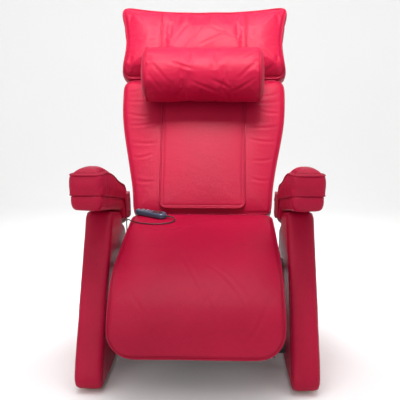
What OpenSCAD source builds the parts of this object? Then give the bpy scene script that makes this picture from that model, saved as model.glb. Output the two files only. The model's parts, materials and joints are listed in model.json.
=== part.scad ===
// Massage recliner chair: two upholstered side panels with curved arms carry a one-piece
// seat-and-calf unit, which tilts, and a backrest with a roller mechanism, which reclines on it.
// Side views use y from the arm fronts backwards; place() then centres the chair on the origin.

/* [Overall] */
// Width over the two arm pads
overall_w = 720; // [640:1:880]
// Thickness of each side panel
panel_t = 86; // [70:1:110]
// Height of the arm pad's top at its front end
arm_h = 637; // [600:1:680]
// Height of the foot glides
foot_h = 8; // [5:1:20]

/* [Seat] */
// Thickness of the seat cushion
seat_pad_t = 62; // [45:1:75]
// Gap between the seat cushion and each side panel
seat_side_gap = 19; // [16:1:26]
// Height of the calf end above the floor
calf_h = 136; // [110:1:180]
// Radius under the thighs
thigh_r = 420; // [360:1:500]
// Radius over the knees
knee_r = 130; // [115:1:160]

/* [Backrest] */
// Lean of the backrest from vertical when upright, in degrees
back_lean = 24; // [18:1:30]
// Half width of the backrest at the waist
waist_hw = 247; // [200:1:248]
// Half width of the backrest at the shoulders
shoulder_hw = 301; // [270:1:330]
// Length of the back cushion up to the shoulders
back_len = 515; // [480:1:560]
// Thickness of the back cushion
back_pad_t = 70; // [60:1:90]
// Width of the head cushion
head_w = 646; // [540:1:670]
// Height of the head cushion
head_h = 300; // [240:1:320]
// Length of the neck bolster
bolster_l = 426; // [320:1:460]
// Diameter of the neck bolster
bolster_d = 190; // [150:1:200]

/* [Mechanism] */
// Diameter of the steel cross tubes of the base
cross_tube_d = 40; // [30:1:50]
// Diameter of the pivot pins
pivot_pin_d = 16; // [12:1:20]
// Height of the massage carriage's lowest position along the backrest
carriage_low = 142; // [142:1:160]
// Diameter of a massage roller
roller_d = 56; // [40:1:60]

/* [Hidden] */
$fn = 48;

leather = [0.78, 0.05, 0.16];
steel = [0.16, 0.16, 0.17];
bright = [0.72, 0.73, 0.75];
black = [0.07, 0.07, 0.08];
slate = [0.16, 0.20, 0.27];
touch = 0.3;          // gap between soft pieces that meet
run = 0.05;           // radial clearance of a running fit

// ---- widths
arm_hw = overall_w / 2;                     // outer face of the arm pads
panel_out = arm_hw - 3;                     // outer face of the side panels
panel_in = panel_out - panel_t;             // inner face of the side panels
arm_in = panel_in - 6;                      // inner face of the arm pads
guide_t = 10;                               // thickness of the plates beside the backrest
seat_hw = panel_in - seat_side_gap;         // half width of the seat cushion
seat_rear_hw = arm_in - guide_t - 3;        // where the seat meets the backrest, between the guides

// ---- seat profile: thigh line, two arcs and the calf line, from rear to front
thigh_a = 10.4;                             // slope of the thigh line
shoulder_a = 35;                            // slope where the knee arc starts
calf_a = 78;                                // slope of the calf line
seat_rear = [552, 448];                     // rear end of the thigh line
thigh_front = [130, seat_rear[1] - (seat_rear[0] - 130) * tan(thigh_a)];
function down(a) = [sin(a), -cos(a)];       // from the surface into the cushion at slope a
thigh_c = thigh_front + thigh_r * down(thigh_a);
knee_start = thigh_c - thigh_r * down(shoulder_a);
knee_c = knee_start + knee_r * down(shoulder_a);
calf_start = knee_c - knee_r * down(calf_a);
calf_end = calf_start - (calf_start[1] - calf_h) / sin(calf_a) * [cos(calf_a), sin(calf_a)];
function seat_path(off) = concat(
  [seat_rear + off * down(thigh_a)],
  [for (a = [thigh_a : (shoulder_a - thigh_a) / 8 : shoulder_a + 0.01]) thigh_c - (thigh_r - off) * down(a)],
  [for (i = [1 : 10]) let (a = shoulder_a + i * (calf_a - shoulder_a) / 10) knee_c - (knee_r - off) * down(a)],
  [calf_end + off * down(calf_a)]
);
function reversed(v) = [for (i = [len(v) - 1 : -1 : 0]) v[i]];
function seat_z(y) = seat_rear[1] - (seat_rear[0] - y) * tan(thigh_a);
shell_t = 8;
rail_h = 30;
shell_off = seat_pad_t;                     // the moulded shell lies under the cushion
rail_off = shell_off + shell_t;             // and the frame rails under the shell

// ---- pivots, in the side view
tilt_pivot = [360, 300];
tilt_max = 25;
recline_max = 20;
back_root = [560, 450];                     // where the backrest's front face starts
back_hinge_local = [95, -30];               // [depth, height] of the hinge in the backrest
function back_point(p) = back_root + p[0] * [cos(back_lean), -sin(back_lean)]
                                   + p[1] * [sin(back_lean), cos(back_lean)];
back_hinge = back_point(back_hinge_local);

// ---- depth: the chair is centred between its calf end and the back of the head shell
head_top = 815;                             // top of the head cushion along the backrest
head_shell_back = 115;                      // back face of the head shell
shell_back = 165;                           // back face of the back shell
front_y = calf_end[0];
back_y = back_point([head_shell_back, 785])[0];
y_shift = -(front_y + back_y) / 2;
module place() { translate([0, y_shift, 0]) children(); }

// ---- helpers
// Extrudes a side-view outline, drawn as [y, z], from x0 to x1
module side_plate(x0, x1) {
  translate([x0, 0, 0]) rotate([90, 0, 90]) linear_extrude(x1 - x0) children();
}
// Mirrors the right-hand piece to the left
module left() { mirror([1, 0, 0]) children(); }
module both() { children(); mirror([1, 0, 0]) children(); }
module x_rod(d, x0, x1, p) {
  translate([x0, p[0], p[1]]) rotate([0, 90, 0]) cylinder(d = d, h = x1 - x0);
}
module x_tube(d, bore, x0, x1, p) {
  difference() {
    x_rod(d, x0, x1, p);
    x_rod(bore, x0 - 1, x1 + 1, p);
  }
}
module rounded(r) { offset(r) offset(delta = -r) children(); }
// Works in the backrest: x across, y into the backrest, z up along it
module in_back() { translate([0, back_root[0], back_root[1]]) rotate([-back_lean, 0, 0]) children(); }

// ---- side panels: a trapezoid that spreads from under the arm to the floor
arm_slope = 8.3;                            // fall of the arm towards its rear end
arm_pad_t = 60;
arm_base_t = 40;
arm_t = arm_pad_t + arm_base_t;
arm_bend_y = 455;                           // where the arm starts to curve down
arm_bend_r = 130;
function arm_top(y) = arm_h - y * tan(arm_slope);
function arm_under(y) = arm_top(y) - arm_t / cos(arm_slope);
arm_bend_c = [arm_bend_y, arm_top(arm_bend_y)] + arm_bend_r * [-sin(arm_slope), -cos(arm_slope)];
arm_end_a = -18;                            // where the curve ends, below horizontal
function on_bend(r, a) = arm_bend_c + r * [cos(a), sin(a)];
// The top edge follows the arm's underside, down and round to the arm's rear end
panel_corners = concat(
  [[-46, foot_h], [232, arm_under(232)], [430, arm_under(430)]],
  [for (i = [0 : 6]) on_bend(arm_bend_r - arm_t - touch, 80 + i * (arm_end_a - 80) / 6)],
  [on_bend(arm_bend_r - 4, arm_end_a) - [touch, touch], [700, foot_h]]);
jacket_t = 16;
module panel_outline(inset = 0) {
  offset(delta = -inset) difference() {
    rounded(34) polygon(panel_corners);
  }
}
module core_outline() {
  intersection() {
    panel_outline(jacket_t);
    translate([-200, foot_h]) square([1200, 1000]);
  }
}
core_in = panel_in + jacket_t;
core_out = panel_out - jacket_t;
module core_cavity() {
  // Reaches down through the sole, so the jacket is open where the core stands on its glides
  side_plate(core_in, core_out) union() {
    core_outline();
    translate([20, -1]) square([600, foot_h + jacket_t + 2]);
  }
}
module side_panel() {
  color(leather) place() difference() {
    side_plate(panel_in, panel_out) panel_outline();
    core_cavity();
  }
}
module side_core() {
  color("burlywood") place() intersection() {
    core_cavity();
    translate([0, -500, foot_h]) cube([1000, 2000, 1000]);
  }
}
foot_y = [70, 570];
foot_d = 30;
module foot_glides() {
  color(black) place() both() for (y = foot_y)
    translate([(core_in + core_out) / 2, y, 0]) cylinder(d = foot_d, h = foot_h);
}

// ---- arms: a straight run that curves down at the rear
function arm_path(off) = concat(
  [[0, arm_top(0) - off / cos(arm_slope)]],
  [for (i = [0 : 12]) let (a = 90 - arm_slope + i * (arm_end_a - 90 + arm_slope) / 12)
    on_bend(arm_bend_r - off, a)]
);
module arm_band(off0, off1) { polygon(concat(arm_path(off0), reversed(arm_path(off1)))); }
module arm_pad() {
  color(leather) place() side_plate(arm_in, arm_hw) arm_band(0, arm_pad_t);
}
module arm_base() {
  color(leather) place() side_plate(arm_in + 3, arm_hw - 4) arm_band(arm_pad_t, arm_t);
}
module back_guide() {
  // Steel plate that keeps the backrest off the arm, with two button-head screws
  color(steel) place() {
    side_plate(arm_in - guide_t, arm_in) rounded(8) intersection() {
      translate([508, 436]) square([62, 90]);
      translate(arm_bend_c) circle(r = arm_bend_r + 4, $fn = 96);
    }
    for (z = [458, 500]) x_rod(11, arm_in - guide_t - 3, arm_in - guide_t, [530, z]);
  }
}

// ---- base: cross tubes, pivots, clevis and electrics
front_tube = [200, 78];
rear_tube = [520, 78];
module base_cross_tubes() {
  color(steel) place() for (p = [front_tube, rear_tube]) x_tube(cross_tube_d, cross_tube_d - 4, -panel_in, panel_in, p);
}
bracket_t = 8;
pin_in = 196;                               // inner end of a pivot pin
bush_od = pivot_pin_d + 6;
rail_x = [204, 224];                        // the seat rails' inner and outer faces
module pivot_brackets() {
  color(steel) place() both() {
    side_plate(panel_in - bracket_t, panel_in) rounded(10)
      polygon([[tilt_pivot[0] - 70, 190], [tilt_pivot[0] + 70, 190],
               [tilt_pivot[0] + 24, tilt_pivot[1] + 24], [tilt_pivot[0] - 24, tilt_pivot[1] + 24]]);
    x_rod(pivot_pin_d, pin_in, panel_in - bracket_t, tilt_pivot);
    x_rod(pivot_pin_d + 8, pin_in - 4, pin_in, tilt_pivot);
  }
}
bush_l = rail_x[1] - rail_x[0];
module pivot_bushes() {
  color("ivory") place() both() x_tube(bush_od, pivot_pin_d + 2 * run, rail_x[0], rail_x[1], tilt_pivot);
}
seat_act_x = -70;                           // where the seat actuator runs
seat_act_base = [520, 118];
seat_act_end = [150, 262];
clevis_pin_d = 10;
module actuator_clevis() {
  // Two ears on the rear cross tube, and their pin
  color(steel) place() translate([seat_act_x, 0, 0]) {
    for (s = [-1, 1]) difference() {
      side_plate(s > 0 ? 16 : -22, s > 0 ? 22 : -16) union() {
        translate(seat_act_base) circle(14);
        translate([seat_act_base[0] - 14, rear_tube[1]]) square([28, seat_act_base[1] - rear_tube[1]]);
      }
      x_rod(cross_tube_d, -30, 30, rear_tube);
    }
    x_rod(clevis_pin_d, -24, 24, seat_act_base);
  }
}
box_x = [20, 190];
box_y = [rear_tube[0] + cross_tube_d / 2 + 8, rear_tube[0] + cross_tube_d / 2 + 78];
box_z = [40, 118];
inlet_w = 48;
inlet_h = 28;
switch_w = 20;
inlet_x = box_x[1] - 45;
switch_x = inlet_x - 50;
electrics_z = box_z[0] + 40;
module box_cutouts(depth) {
  translate([inlet_x - inlet_w / 2, box_y[1] - depth, electrics_z - inlet_h / 2]) cube([inlet_w, depth + 1, inlet_h]);
  translate([switch_x - switch_w / 2, box_y[1] - depth, electrics_z - inlet_h / 2]) cube([switch_w, depth + 1, inlet_h]);
}
module control_box() {
  // Power supply and control electronics, on a saddle over the rear cross tube
  color(black) place() difference() {
    union() {
      translate([box_x[0], box_y[0], box_z[0]]) cube([box_x[1] - box_x[0], box_y[1] - box_y[0], box_z[1] - box_z[0]]);
      for (x = [box_x[0] + 15, box_x[1] - 45])
        translate([x, rear_tube[0], box_z[0] + 10]) cube([30, box_y[0] - rear_tube[0] + 1, 56]);
    }
    x_rod(cross_tube_d, -300, 300, rear_tube);
    box_cutouts(24);
  }
  // pin that the rocker switch turns on
  color(black) place() x_rod(3, switch_x - switch_w / 2, switch_x + switch_w / 2, [box_y[1] - 6, electrics_z]);
}
module power_inlet() {
  // Appliance inlet with three flat contacts, in the lower rear of the control box
  color(black) place() translate([inlet_x, box_y[1], electrics_z]) {
    difference() {
      translate([-inlet_w / 2, -24, -inlet_h / 2]) cube([inlet_w, 24, inlet_h]);
      translate([-13, -17, -9]) cube([26, 20, 18]);
    }
  }
  color(bright) place() for (p = [[-7, -2], [7, -2], [0, 3]])
    translate([inlet_x + p[0] - 1, box_y[1] - 17, electrics_z + p[1] - 2]) cube([2, 13, 4]);
}
module power_switch() {
  // Rocker: a shallow vee face on its own pivot
  color(black) place() difference() {
    translate([switch_x - switch_w / 2 + 1, box_y[1] - 6, electrics_z])
      rotate([90, 0, 90]) linear_extrude(switch_w - 2)
        polygon([[-9, -9], [7, -11], [4, 0], [7, 11], [-9, 9]]);
    x_rod(3 + 2 * run, switch_x - switch_w, switch_x + switch_w, [box_y[1] - 6, electrics_z]);
  }
}

// ---- seat unit
module seat_band(off0, off1) { polygon(concat(seat_path(off0), reversed(seat_path(off1)))); }
// Plan outline of the seat, from its calf end to its rear between the two guides
module seat_plan(inset) {
  rounded(24) polygon([
    [-seat_hw + inset, front_y - 50], [seat_hw - inset, front_y - 50], [seat_hw - inset, 250],
    [seat_rear_hw - inset, seat_rear[0]], [-seat_rear_hw + inset, seat_rear[0]], [-seat_hw + inset, 250]]);
}
calf_corner_r = 72;
// Front outline of the seat, with round lower corners
module seat_front(inset) {
  hull() {
    for (s = [-1, 1]) translate([s * (seat_hw - inset - calf_corner_r), calf_h + inset + calf_corner_r])
      circle(calf_corner_r, $fn = 32);
    translate([-seat_hw + inset, 400]) square([2 * (seat_hw - inset), 200]);
  }
}
module seat_trim(inset) {
  intersection() {
    children();
    translate([0, 0, 50]) linear_extrude(500) seat_plan(inset);
    translate([0, 700, 0]) rotate([90, 0, 0]) linear_extrude(1000) seat_front(inset);
  }
}
module seat_cushion() {
  color(leather) place() seat_trim(0) side_plate(-seat_hw, seat_hw) seat_band(0, shell_off);
}
module seat_shell() {
  color(black) place() seat_trim(14) side_plate(-seat_hw, seat_hw) seat_band(shell_off, rail_off);
}
seat_front_tube = [150, 361 - rail_off];
seat_mid_tube = [240, 370 - rail_off];
back_act_x = 70;
back_act_front = [240, 240];
frame_tube_d = 22;
ear_t = 8;
module clevis(pin, tube) {
  for (x = [-20, 15]) side_plate(x, x + 5) hull() {
    translate(pin) circle(11);
    translate(tube) circle(10);
  }
  x_rod(clevis_pin_d, -22, 22, pin);
}
module seat_frame() {
  color(steel) place() {
    difference() {
      union() {
        both() {
          // rails that follow the shell, stopped short of the calf end
          intersection() {
            side_plate(rail_x[0], rail_x[1]) seat_band(rail_off, rail_off + rail_h);
            translate([0, front_y + 95, 0]) cube([400, 900, 700]);
          }
          x_rod(bush_od + 12, rail_x[0], rail_x[1], tilt_pivot);
          side_plate(rail_x[0], rail_x[1])
            polygon([[tilt_pivot[0] - 17, tilt_pivot[1]], [tilt_pivot[0] + 17, tilt_pivot[1]],
                     [tilt_pivot[0] + 17, seat_z(tilt_pivot[0]) - rail_off - 20],
                     [tilt_pivot[0] - 17, seat_z(tilt_pivot[0]) - rail_off - 20]]);
          // rear ears that carry the backrest hinge
          side_plate(rail_x[1] - ear_t, rail_x[1]) hull() {
            translate(back_hinge) circle(17);
            translate([520, seat_z(520) - rail_off - 21]) circle(14);
          }
          x_rod(pivot_pin_d, rail_x[0] - 36, rail_x[1], back_hinge);
        }
        x_rod(frame_tube_d, -rail_x[1], rail_x[1], seat_front_tube);
        x_rod(frame_tube_d, -rail_x[1], rail_x[1], seat_mid_tube);
        x_rod(frame_tube_d, -rail_x[1], rail_x[1], [500, seat_z(500) - rail_off - 15]);
      }
      both() x_rod(bush_od, rail_x[0] - 1, rail_x[1] + 1, tilt_pivot);
    }
    // clevis ears for the two actuators, under the middle and front tubes
    translate([back_act_x, 0, 0]) clevis(back_act_front, seat_mid_tube);
    translate([seat_act_x, 0, 0]) clevis(seat_act_end, seat_front_tube);
  }
}

// ---- actuators: gearbox and motor at one end, a tube, and a rod with a slotted eye
rod_d = 16;
act_tube_d = 34;
module along(p, q) {
  // local +z runs from p to q in the side view
  translate([0, p[0], p[1]]) rotate([-atan2(q[0] - p[0], q[1] - p[1]), 0, 0]) children();
}
module actuator_body(p, q, tube_l, side) {
  along(p, q) {
    difference() {
      union() {
        rotate([0, 90, 0]) translate([0, 0, -13]) cylinder(d = 30, h = 26);
        translate([-13, -15, 0]) cube([26, 30, 30]);
        translate([-20, -20, 26]) cube([40, 40, 46]);
        translate([side > 0 ? 16 : -70, -20, 30]) cube([54, 40, 38]);
        translate([0, 0, 60]) cylinder(d = act_tube_d, h = tube_l - 60);
      }
      rotate([0, 90, 0]) translate([0, 0, -20]) cylinder(d = clevis_pin_d + 2 * run, h = 40);
      translate([0, 0, 90]) cylinder(d = rod_d + 2 * run, h = tube_l);
    }
    translate([side * 46, 0, 68]) cylinder(d = 40, h = 84);
  }
}
module actuator_rod(p, q, slot, play) {
  l = norm(q - p);
  along(p, q) {
    translate([0, 0, 130]) cylinder(d = rod_d, h = l - 130 - 10);
    difference() {
      translate([-7, -13, l - 20]) cube([14, 26, 36]);
      // the slot takes up the small arc of the open pivot, with play on each side of its pin
      for (d = [-slot, slot]) translate([-8, 0, l + d]) rotate([0, 90, 0]) cylinder(r = clevis_pin_d / 2 + play, h = 16);
      translate([-8, -clevis_pin_d / 2 - play, l - slot]) cube([16, clevis_pin_d + 2 * play, 2 * slot]);
    }
  }
}
seat_act_tube = 330;
back_act_end_local = [95, -140];
back_act_end = back_point(back_act_end_local);
back_act_tube = 275;
module seat_actuator() {
  color(steel) place() translate([seat_act_x, 0, 0]) actuator_body(seat_act_base, seat_act_end, seat_act_tube, -1);
}
module seat_actuator_rod() {
  color(bright) place() translate([seat_act_x, 0, 0]) actuator_rod(seat_act_base, seat_act_end, 4, 1.5);
}
module back_actuator() {
  color(steel) place() translate([back_act_x, 0, 0]) actuator_body(back_act_front, back_act_end, back_act_tube, 1);
}
module back_actuator_rod() {
  color(bright) place() translate([back_act_x, 0, 0]) actuator_rod(back_act_front, back_act_end, 4, 2.5);
}

// ---- backrest, in its own frame: [x across, y into the backrest, z along it]
function ease(t) = let (c = max(0, min(1, t))) c * c * (3 - 2 * c);
function back_hw(v) = waist_hw + (shoulder_hw - waist_hw) * ease(v / 420);
back_corner_r = 55;
// Outline of the backrest, flaring from the waist to round shoulders
module back_outline(inset, v0, v1) {
  side = [for (i = [0 : 14]) let (v = v0 + i * (v1 - back_corner_r - v0) / 14) [back_hw(v) - inset, v]];
  corner = [for (i = [1 : 8]) let (a = i * 90 / 8)
    [back_hw(v1) - inset - back_corner_r + back_corner_r * cos(a), v1 - back_corner_r + back_corner_r * sin(a)]];
  right = concat(side, corner);
  polygon(concat(right, [for (p = reversed(right)) [-p[0], p[1]]]));
}
// Extrudes an outline drawn as [x, v] from depth y0 to y1
module sheet(y0, y1) {
  translate([0, y1, 0]) rotate([90, 0, 0]) linear_extrude(y1 - y0) children();
}
board_t = 8;
opening_hw = 95;                            // half width of the opening for the rollers
opening = [60, back_len - 45];              // its lower and upper ends
module back_opening() { translate([-opening_hw, opening[0]]) square([2 * opening_hw, opening[1] - opening[0]]); }
module back_cushion() {
  color(leather) place() in_back() sheet(0, back_pad_t - board_t) difference() {
    back_outline(0, 0, back_len);
    back_opening();
  }
}
module back_board() {
  color("burlywood") place() in_back() sheet(back_pad_t - board_t, back_pad_t) difference() {
    back_outline(10, 6, back_len - 4);
    back_opening();
  }
}
stile_x = 180;
stile_y = 95;                               // depth of the frame tubes
stile_top = 740;
cross_v = [20, 500, 735];                   // cross tubes of the backrest frame
boss_x = 120;
shell_wall = 5;
module stile_rods(d, v0, v1) {
  both() translate([stile_x, stile_y, v0]) cylinder(d = d, h = v1 - v0);
}
module cross_rod(d, v) { x_rod(d, -stile_x, stile_x, [stile_y, v]); }
// Bosses from the rear wall of a shell to a cross tube
module bosses(y_wall, v) {
  both() translate([boss_x, stile_y + 4, v]) rotate([-90, 0, 0]) cylinder(d = 24, h = y_wall - stile_y - 4);
}
screw_d = 6;
module screw_holes(v) {
  both() translate([boss_x, stile_y, v]) rotate([-90, 0, 0]) cylinder(d = screw_d, h = 100);
}
shell_low = -5;                             // lower edge of the back shell
module back_shell() {
  color(black) place() in_back() difference() {
    union() {
      sheet(back_pad_t, shell_back - shell_wall) difference() {
        back_outline(12, shell_low, back_len);
        back_outline(12 + shell_wall, shell_low - 1, back_len - shell_wall);
      }
      sheet(shell_back - shell_wall, shell_back) back_outline(12, shell_low, back_len);
      for (v = [cross_v[0], cross_v[1]]) bosses(shell_back - shell_wall, v);
    }
    for (v = [cross_v[0], cross_v[1]]) {
      cross_rod(frame_tube_d, v);
      screw_holes(v);
    }
    stile_rods(frame_tube_d + 2, back_len - 30, back_len + 30);
  }
}
head_low = back_len + touch;
head_hw = head_w / 2;
head_high = head_low + head_h;
head_back = 45;                             // rear face of the head cushion
head_front = -40;
head_shell_hw = 208;
head_board_back = head_back + board_t;
module head_shell() {
  color(black) place() in_back() difference() {
    union() {
      sheet(head_board_back, head_shell_back - shell_wall) difference() {
        head_shell_outline(0);
        head_shell_outline(shell_wall);
      }
      sheet(head_shell_back - shell_wall, head_shell_back) head_shell_outline(0);
      bosses(head_shell_back - shell_wall, cross_v[2]);
    }
    cross_rod(frame_tube_d, cross_v[2]);
    screw_holes(cross_v[2]);
    stile_rods(frame_tube_d + 2, head_low - 5, head_low + 30);
  }
}
module head_shell_outline(inset) {
  offset(delta = -inset) rounded(40) translate([-head_shell_hw, head_low + 6]) square([2 * head_shell_hw, head_h - 36]);
}
module shell_screws() {
  color(steel) place() in_back() both() {
    for (p = [[cross_v[0], shell_back], [cross_v[1], shell_back], [cross_v[2], head_shell_back]])
      translate([boss_x, 0, p[0]]) rotate([-90, 0, 0]) {
        translate([0, 0, stile_y + frame_tube_d / 2]) cylinder(d = screw_d, h = p[1] - stile_y - frame_tube_d / 2);
        translate([0, 0, p[1]]) cylinder(d = 14, h = 4);
      }
  }
}
module head_outline(inset) {
  // Wider at its corners than at its waist, with a dip in the top edge
  offset(delta = -inset) rounded(30) polygon([
    [-head_hw, head_low], [head_hw, head_low], [head_hw - 28, head_low + 0.4 * head_h],
    [head_hw + 8, head_high], [head_hw * 0.55, head_high - 28], [0, head_high - 36],
    [-head_hw * 0.55, head_high - 28], [-head_hw - 8, head_high], [-head_hw + 28, head_low + 0.4 * head_h]]);
}
module head_board() {
  color("burlywood") place() in_back() sheet(head_back, head_board_back) head_outline(12);
}
module head_cushion() {
  color(leather) place() in_back() intersection() {
    sheet(head_front, head_back) head_outline(0);
    side_plate(-400, 400) hull() {
      translate([head_front + 45, head_low + 45]) circle(45);
      translate([head_front + 40, head_high - 40]) circle(40);
      translate([head_back - 10, head_low]) square([10, head_h]);
    }
  }
}
lever_pin = back_act_end_local;
module back_frame() {
  color(steel) place() in_back() {
    difference() {
      union() {
        stile_rods(frame_tube_d, back_hinge_local[1], stile_top);
        for (v = cross_v) cross_rod(frame_tube_d, v);
        both() {
          x_rod(pivot_pin_d + 14, stile_x - 12, rail_x[1] - ear_t - 4, back_hinge_local);
          // spacers that carry the two boards
          for (v = [90, back_len - 60]) translate([stile_x - 12, back_pad_t, v]) cube([24, stile_y - back_pad_t, 40]);
          for (v = [head_low + 45, head_low + 175])
            translate([stile_x - 12, head_board_back, v]) cube([24, stile_y - head_board_back, 40]);
        }
        // lever for the back actuator
        translate([back_act_x, 0, 0]) for (x = [-20, 15]) side_plate(x, x + 5) intersection() {
          hull() {
            translate([stile_y, cross_v[0]]) circle(14);
            translate(lever_pin) circle(11);
          }
          translate([back_pad_t, -300]) square([400, 600]);
        }
      }
      both() x_rod(pivot_pin_d + 2 * run, stile_x - 20, rail_x[1], back_hinge_local);
    }
    translate([back_act_x, 0, 0]) x_rod(clevis_pin_d, -22, 22, lever_pin);
  }
}

// ---- massage mechanism, inside the backrest
mech_rail_x = 60;
mech_rail_y = 112;
mech_rail_d = 12;
screw_y = 130;
lead_d = 14;
journal_d = 8;
plate_t = 18;
mech_hw = 85;
plate_low = cross_v[0];
plate_high = cross_v[1] - plate_t;
module massage_rails() {
  // Two guide rods between end plates that saddle the frame's cross tubes
  color(bright) place() in_back() {
    both() translate([mech_rail_x, mech_rail_y, plate_low + plate_t])
      cylinder(d = mech_rail_d, h = plate_high - plate_low - plate_t);
    for (v = [plate_low, plate_high]) difference() {
      translate([-mech_hw, stile_y + 3, v]) cube([2 * mech_hw, 48, plate_t]);
      for (c = [0, 1]) cross_rod(frame_tube_d, cross_v[c]);
      x_rod(29, back_act_x - 21, back_act_x + 21, [stile_y, cross_v[0]]);
      translate([0, screw_y, v - 1]) cylinder(d = journal_d + 2 * run, h = plate_t + 2);
    }
  }
}
motor_d = 44;
motor_l = 52;
module screw_motor() {
  color(steel) place() in_back() difference() {
    translate([0, screw_y, plate_low - motor_l]) cylinder(d = motor_d, h = motor_l);
    translate([0, screw_y, plate_low - 14]) cylinder(d = journal_d + 2 * run, h = 20);
  }
}
module lead_screw() {
  color(bright) place() in_back() translate([0, screw_y, 0]) {
    translate([0, 0, plate_low - 12]) cylinder(d = journal_d, h = plate_high + plate_t - 2 - plate_low + 12);
    translate([0, 0, plate_low + plate_t + 0.5]) cylinder(d = lead_d, h = plate_high - plate_low - plate_t - 1);
  }
}
shaft_y = 80;                               // depth of the knead shaft
shaft_d = 10;
carriage_y = [92, 142];
carriage_v = [-32, 52];                     // ends of the carriage, from the knead shaft
lug_x = [38, 46];
arm_x = [51, 59];                           // faces of the knead arm
roller_x = [62, 86];
roller_reach = [38, 45];                    // depth of the rollers, and their distance along the back
roller_pin_d = 8;
module on_carriage() { place() in_back() translate([0, 0, carriage_low]) children(); }
module massage_carriage() {
  color(black) on_carriage() difference() {
    union() {
      translate([-mech_hw, carriage_y[0], carriage_v[0]])
        cube([2 * mech_hw, carriage_y[1] - carriage_y[0], carriage_v[1] - carriage_v[0]]);
      both() translate([lug_x[0], shaft_y - 12, -12]) cube([lug_x[1] - lug_x[0], carriage_y[0] - shaft_y + 13, 24]);
    }
    both() translate([mech_rail_x, mech_rail_y, carriage_v[0] - 1])
      cylinder(d = mech_rail_d + 2 * run, h = carriage_v[1] - carriage_v[0] + 2);
    translate([0, screw_y, carriage_v[0] - 1]) cylinder(d = lead_d + 2 * run, h = carriage_v[1] - carriage_v[0] + 2);
    x_rod(shaft_d, -mech_hw, mech_hw, [shaft_y, 0]);
  }
}
module knead_motor() {
  color(steel) on_carriage() {
    translate([-36, 60, 14]) cube([72, carriage_y[0] - 60, 36]);
    translate([0, 62, 32]) rotate([90, 0, 0]) cylinder(d = 32, h = 14);
  }
}
module knead_shaft() {
  color(bright) on_carriage() x_rod(shaft_d, -arm_x[1] - 4, arm_x[1] + 4, [shaft_y, 0]);
}
module knead_arm() {
  color(bright) on_carriage() {
    difference() {
      side_plate(arm_x[0], arm_x[1]) for (s = [-1, 1]) hull() {
        translate([shaft_y, 0]) circle(12);
        translate([roller_reach[0], s * roller_reach[1]]) circle(9);
      }
      x_rod(shaft_d + 2 * run, 0, 100, [shaft_y, 0]);
    }
    for (s = [-1, 1]) {
      x_rod(roller_pin_d, arm_x[1], roller_x[1] + 3, [roller_reach[0], s * roller_reach[1]]);
      x_rod(roller_pin_d + 6, roller_x[1] + 0.5, roller_x[1] + 3, [roller_reach[0], s * roller_reach[1]]);
      x_rod(roller_pin_d + 6, arm_x[1], roller_x[0] - 0.5, [roller_reach[0], s * roller_reach[1]]);
    }
  }
}
module roller(s) {
  // Barrel roller with rounded shoulders; s is 1 for the upper one, -1 for the lower
  w = roller_x[1] - roller_x[0];
  color("ivory") on_carriage() translate([roller_x[0], roller_reach[0], s * roller_reach[1]]) rotate([0, 90, 0])
    rotate_extrude() polygon(concat(
      [[roller_pin_d / 2 + run, 0], [roller_d / 2 - 8, 0]],
      [for (a = [-80 : 20 : 80]) [roller_d / 2 - 8 + 8 * cos(a), w / 2 + w / 2 * sin(a)]],
      [[roller_d / 2 - 8, w], [roller_pin_d / 2 + run, w]]));
}

// ---- flap and neck bolster, in front of the backrest
flap_hw = 152;
flap_y = [-12.3, -touch];
flap_low = 12;
flap_crease = 376;                          // where the lower flap bends below the bolster
bolster_y = flap_y[0] - touch - bolster_d / 2;
bolster_v = head_low + 45 - sqrt(pow(45 + bolster_d / 2 + touch, 2) - pow(head_front + 45 - bolster_y, 2));
module flap_top() {
  color(leather) place() in_back() sheet(flap_y[0], flap_y[1])
    translate([-flap_hw, flap_crease + touch]) square([2 * flap_hw, head_low - touch - flap_crease - touch]);
}
module massage_flap() {
  color(leather) place() in_back() sheet(flap_y[0], flap_y[1]) {
    translate([-flap_hw, flap_low + 20]) square([2 * flap_hw, flap_crease - flap_low - 20]);
    translate([-flap_hw + 20, flap_low]) square([2 * flap_hw - 40, 30]);
    for (s = [-1, 1]) translate([s * (flap_hw - 20), flap_low + 20]) circle(20);
  }
}
bolster_edge = 30;
module neck_bolster() {
  // Cylinder with rounded ends, lying across the backrest under the head cushion
  r = bolster_d / 2;
  end = [for (a = [0 : 15 : 90]) [r - bolster_edge + bolster_edge * sin(a),
                                  bolster_l / 2 - bolster_edge + bolster_edge * cos(a)]];
  color(leather) place() in_back() translate([0, bolster_y, bolster_v]) rotate([0, 90, 0])
    rotate_extrude() polygon(concat([[0, bolster_l / 2]], end,
      [for (p = reversed(end)) [p[0], -p[1]]], [[0, -bolster_l / 2]]));
}

// ---- handset, cord and gland, in the frame of the thigh surface: [x, along the slope, above it]
module on_seat() { place() translate([0, seat_rear[0], seat_rear[1]]) rotate([thigh_a, 0, 0]) children(); }
handset_at = [-178, -42];
handset_turn = -23;
module on_handset() { on_seat() translate([handset_at[0], handset_at[1], touch]) rotate([0, 0, handset_turn]) children(); }
module handset_outline(inset) {
  hull() {
    translate([-49, 0]) circle(11 - inset, $fn = 32);
    translate([40, 0]) circle(20 - inset, $fn = 32);
  }
}
case_low = 9;
case_high = 19;
button_d = 8;
pocket = 4.5;                               // depth of a button's pocket
button_h = 4.8;
button_up = 1.2;                            // space under a released button
post_d = 3;                                 // guide post inside each button
post_h = button_up + 1.2;
handset_buttons = [[-48, 0], [-31, -5.5], [-31, 5.5], [-14, -6.5], [-14, 6.5]];
display_x = [8, 44];
display_hw = 12;
module handset_lower_case() {
  color(slate) on_handset() linear_extrude(case_low) handset_outline(1);
}
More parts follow.
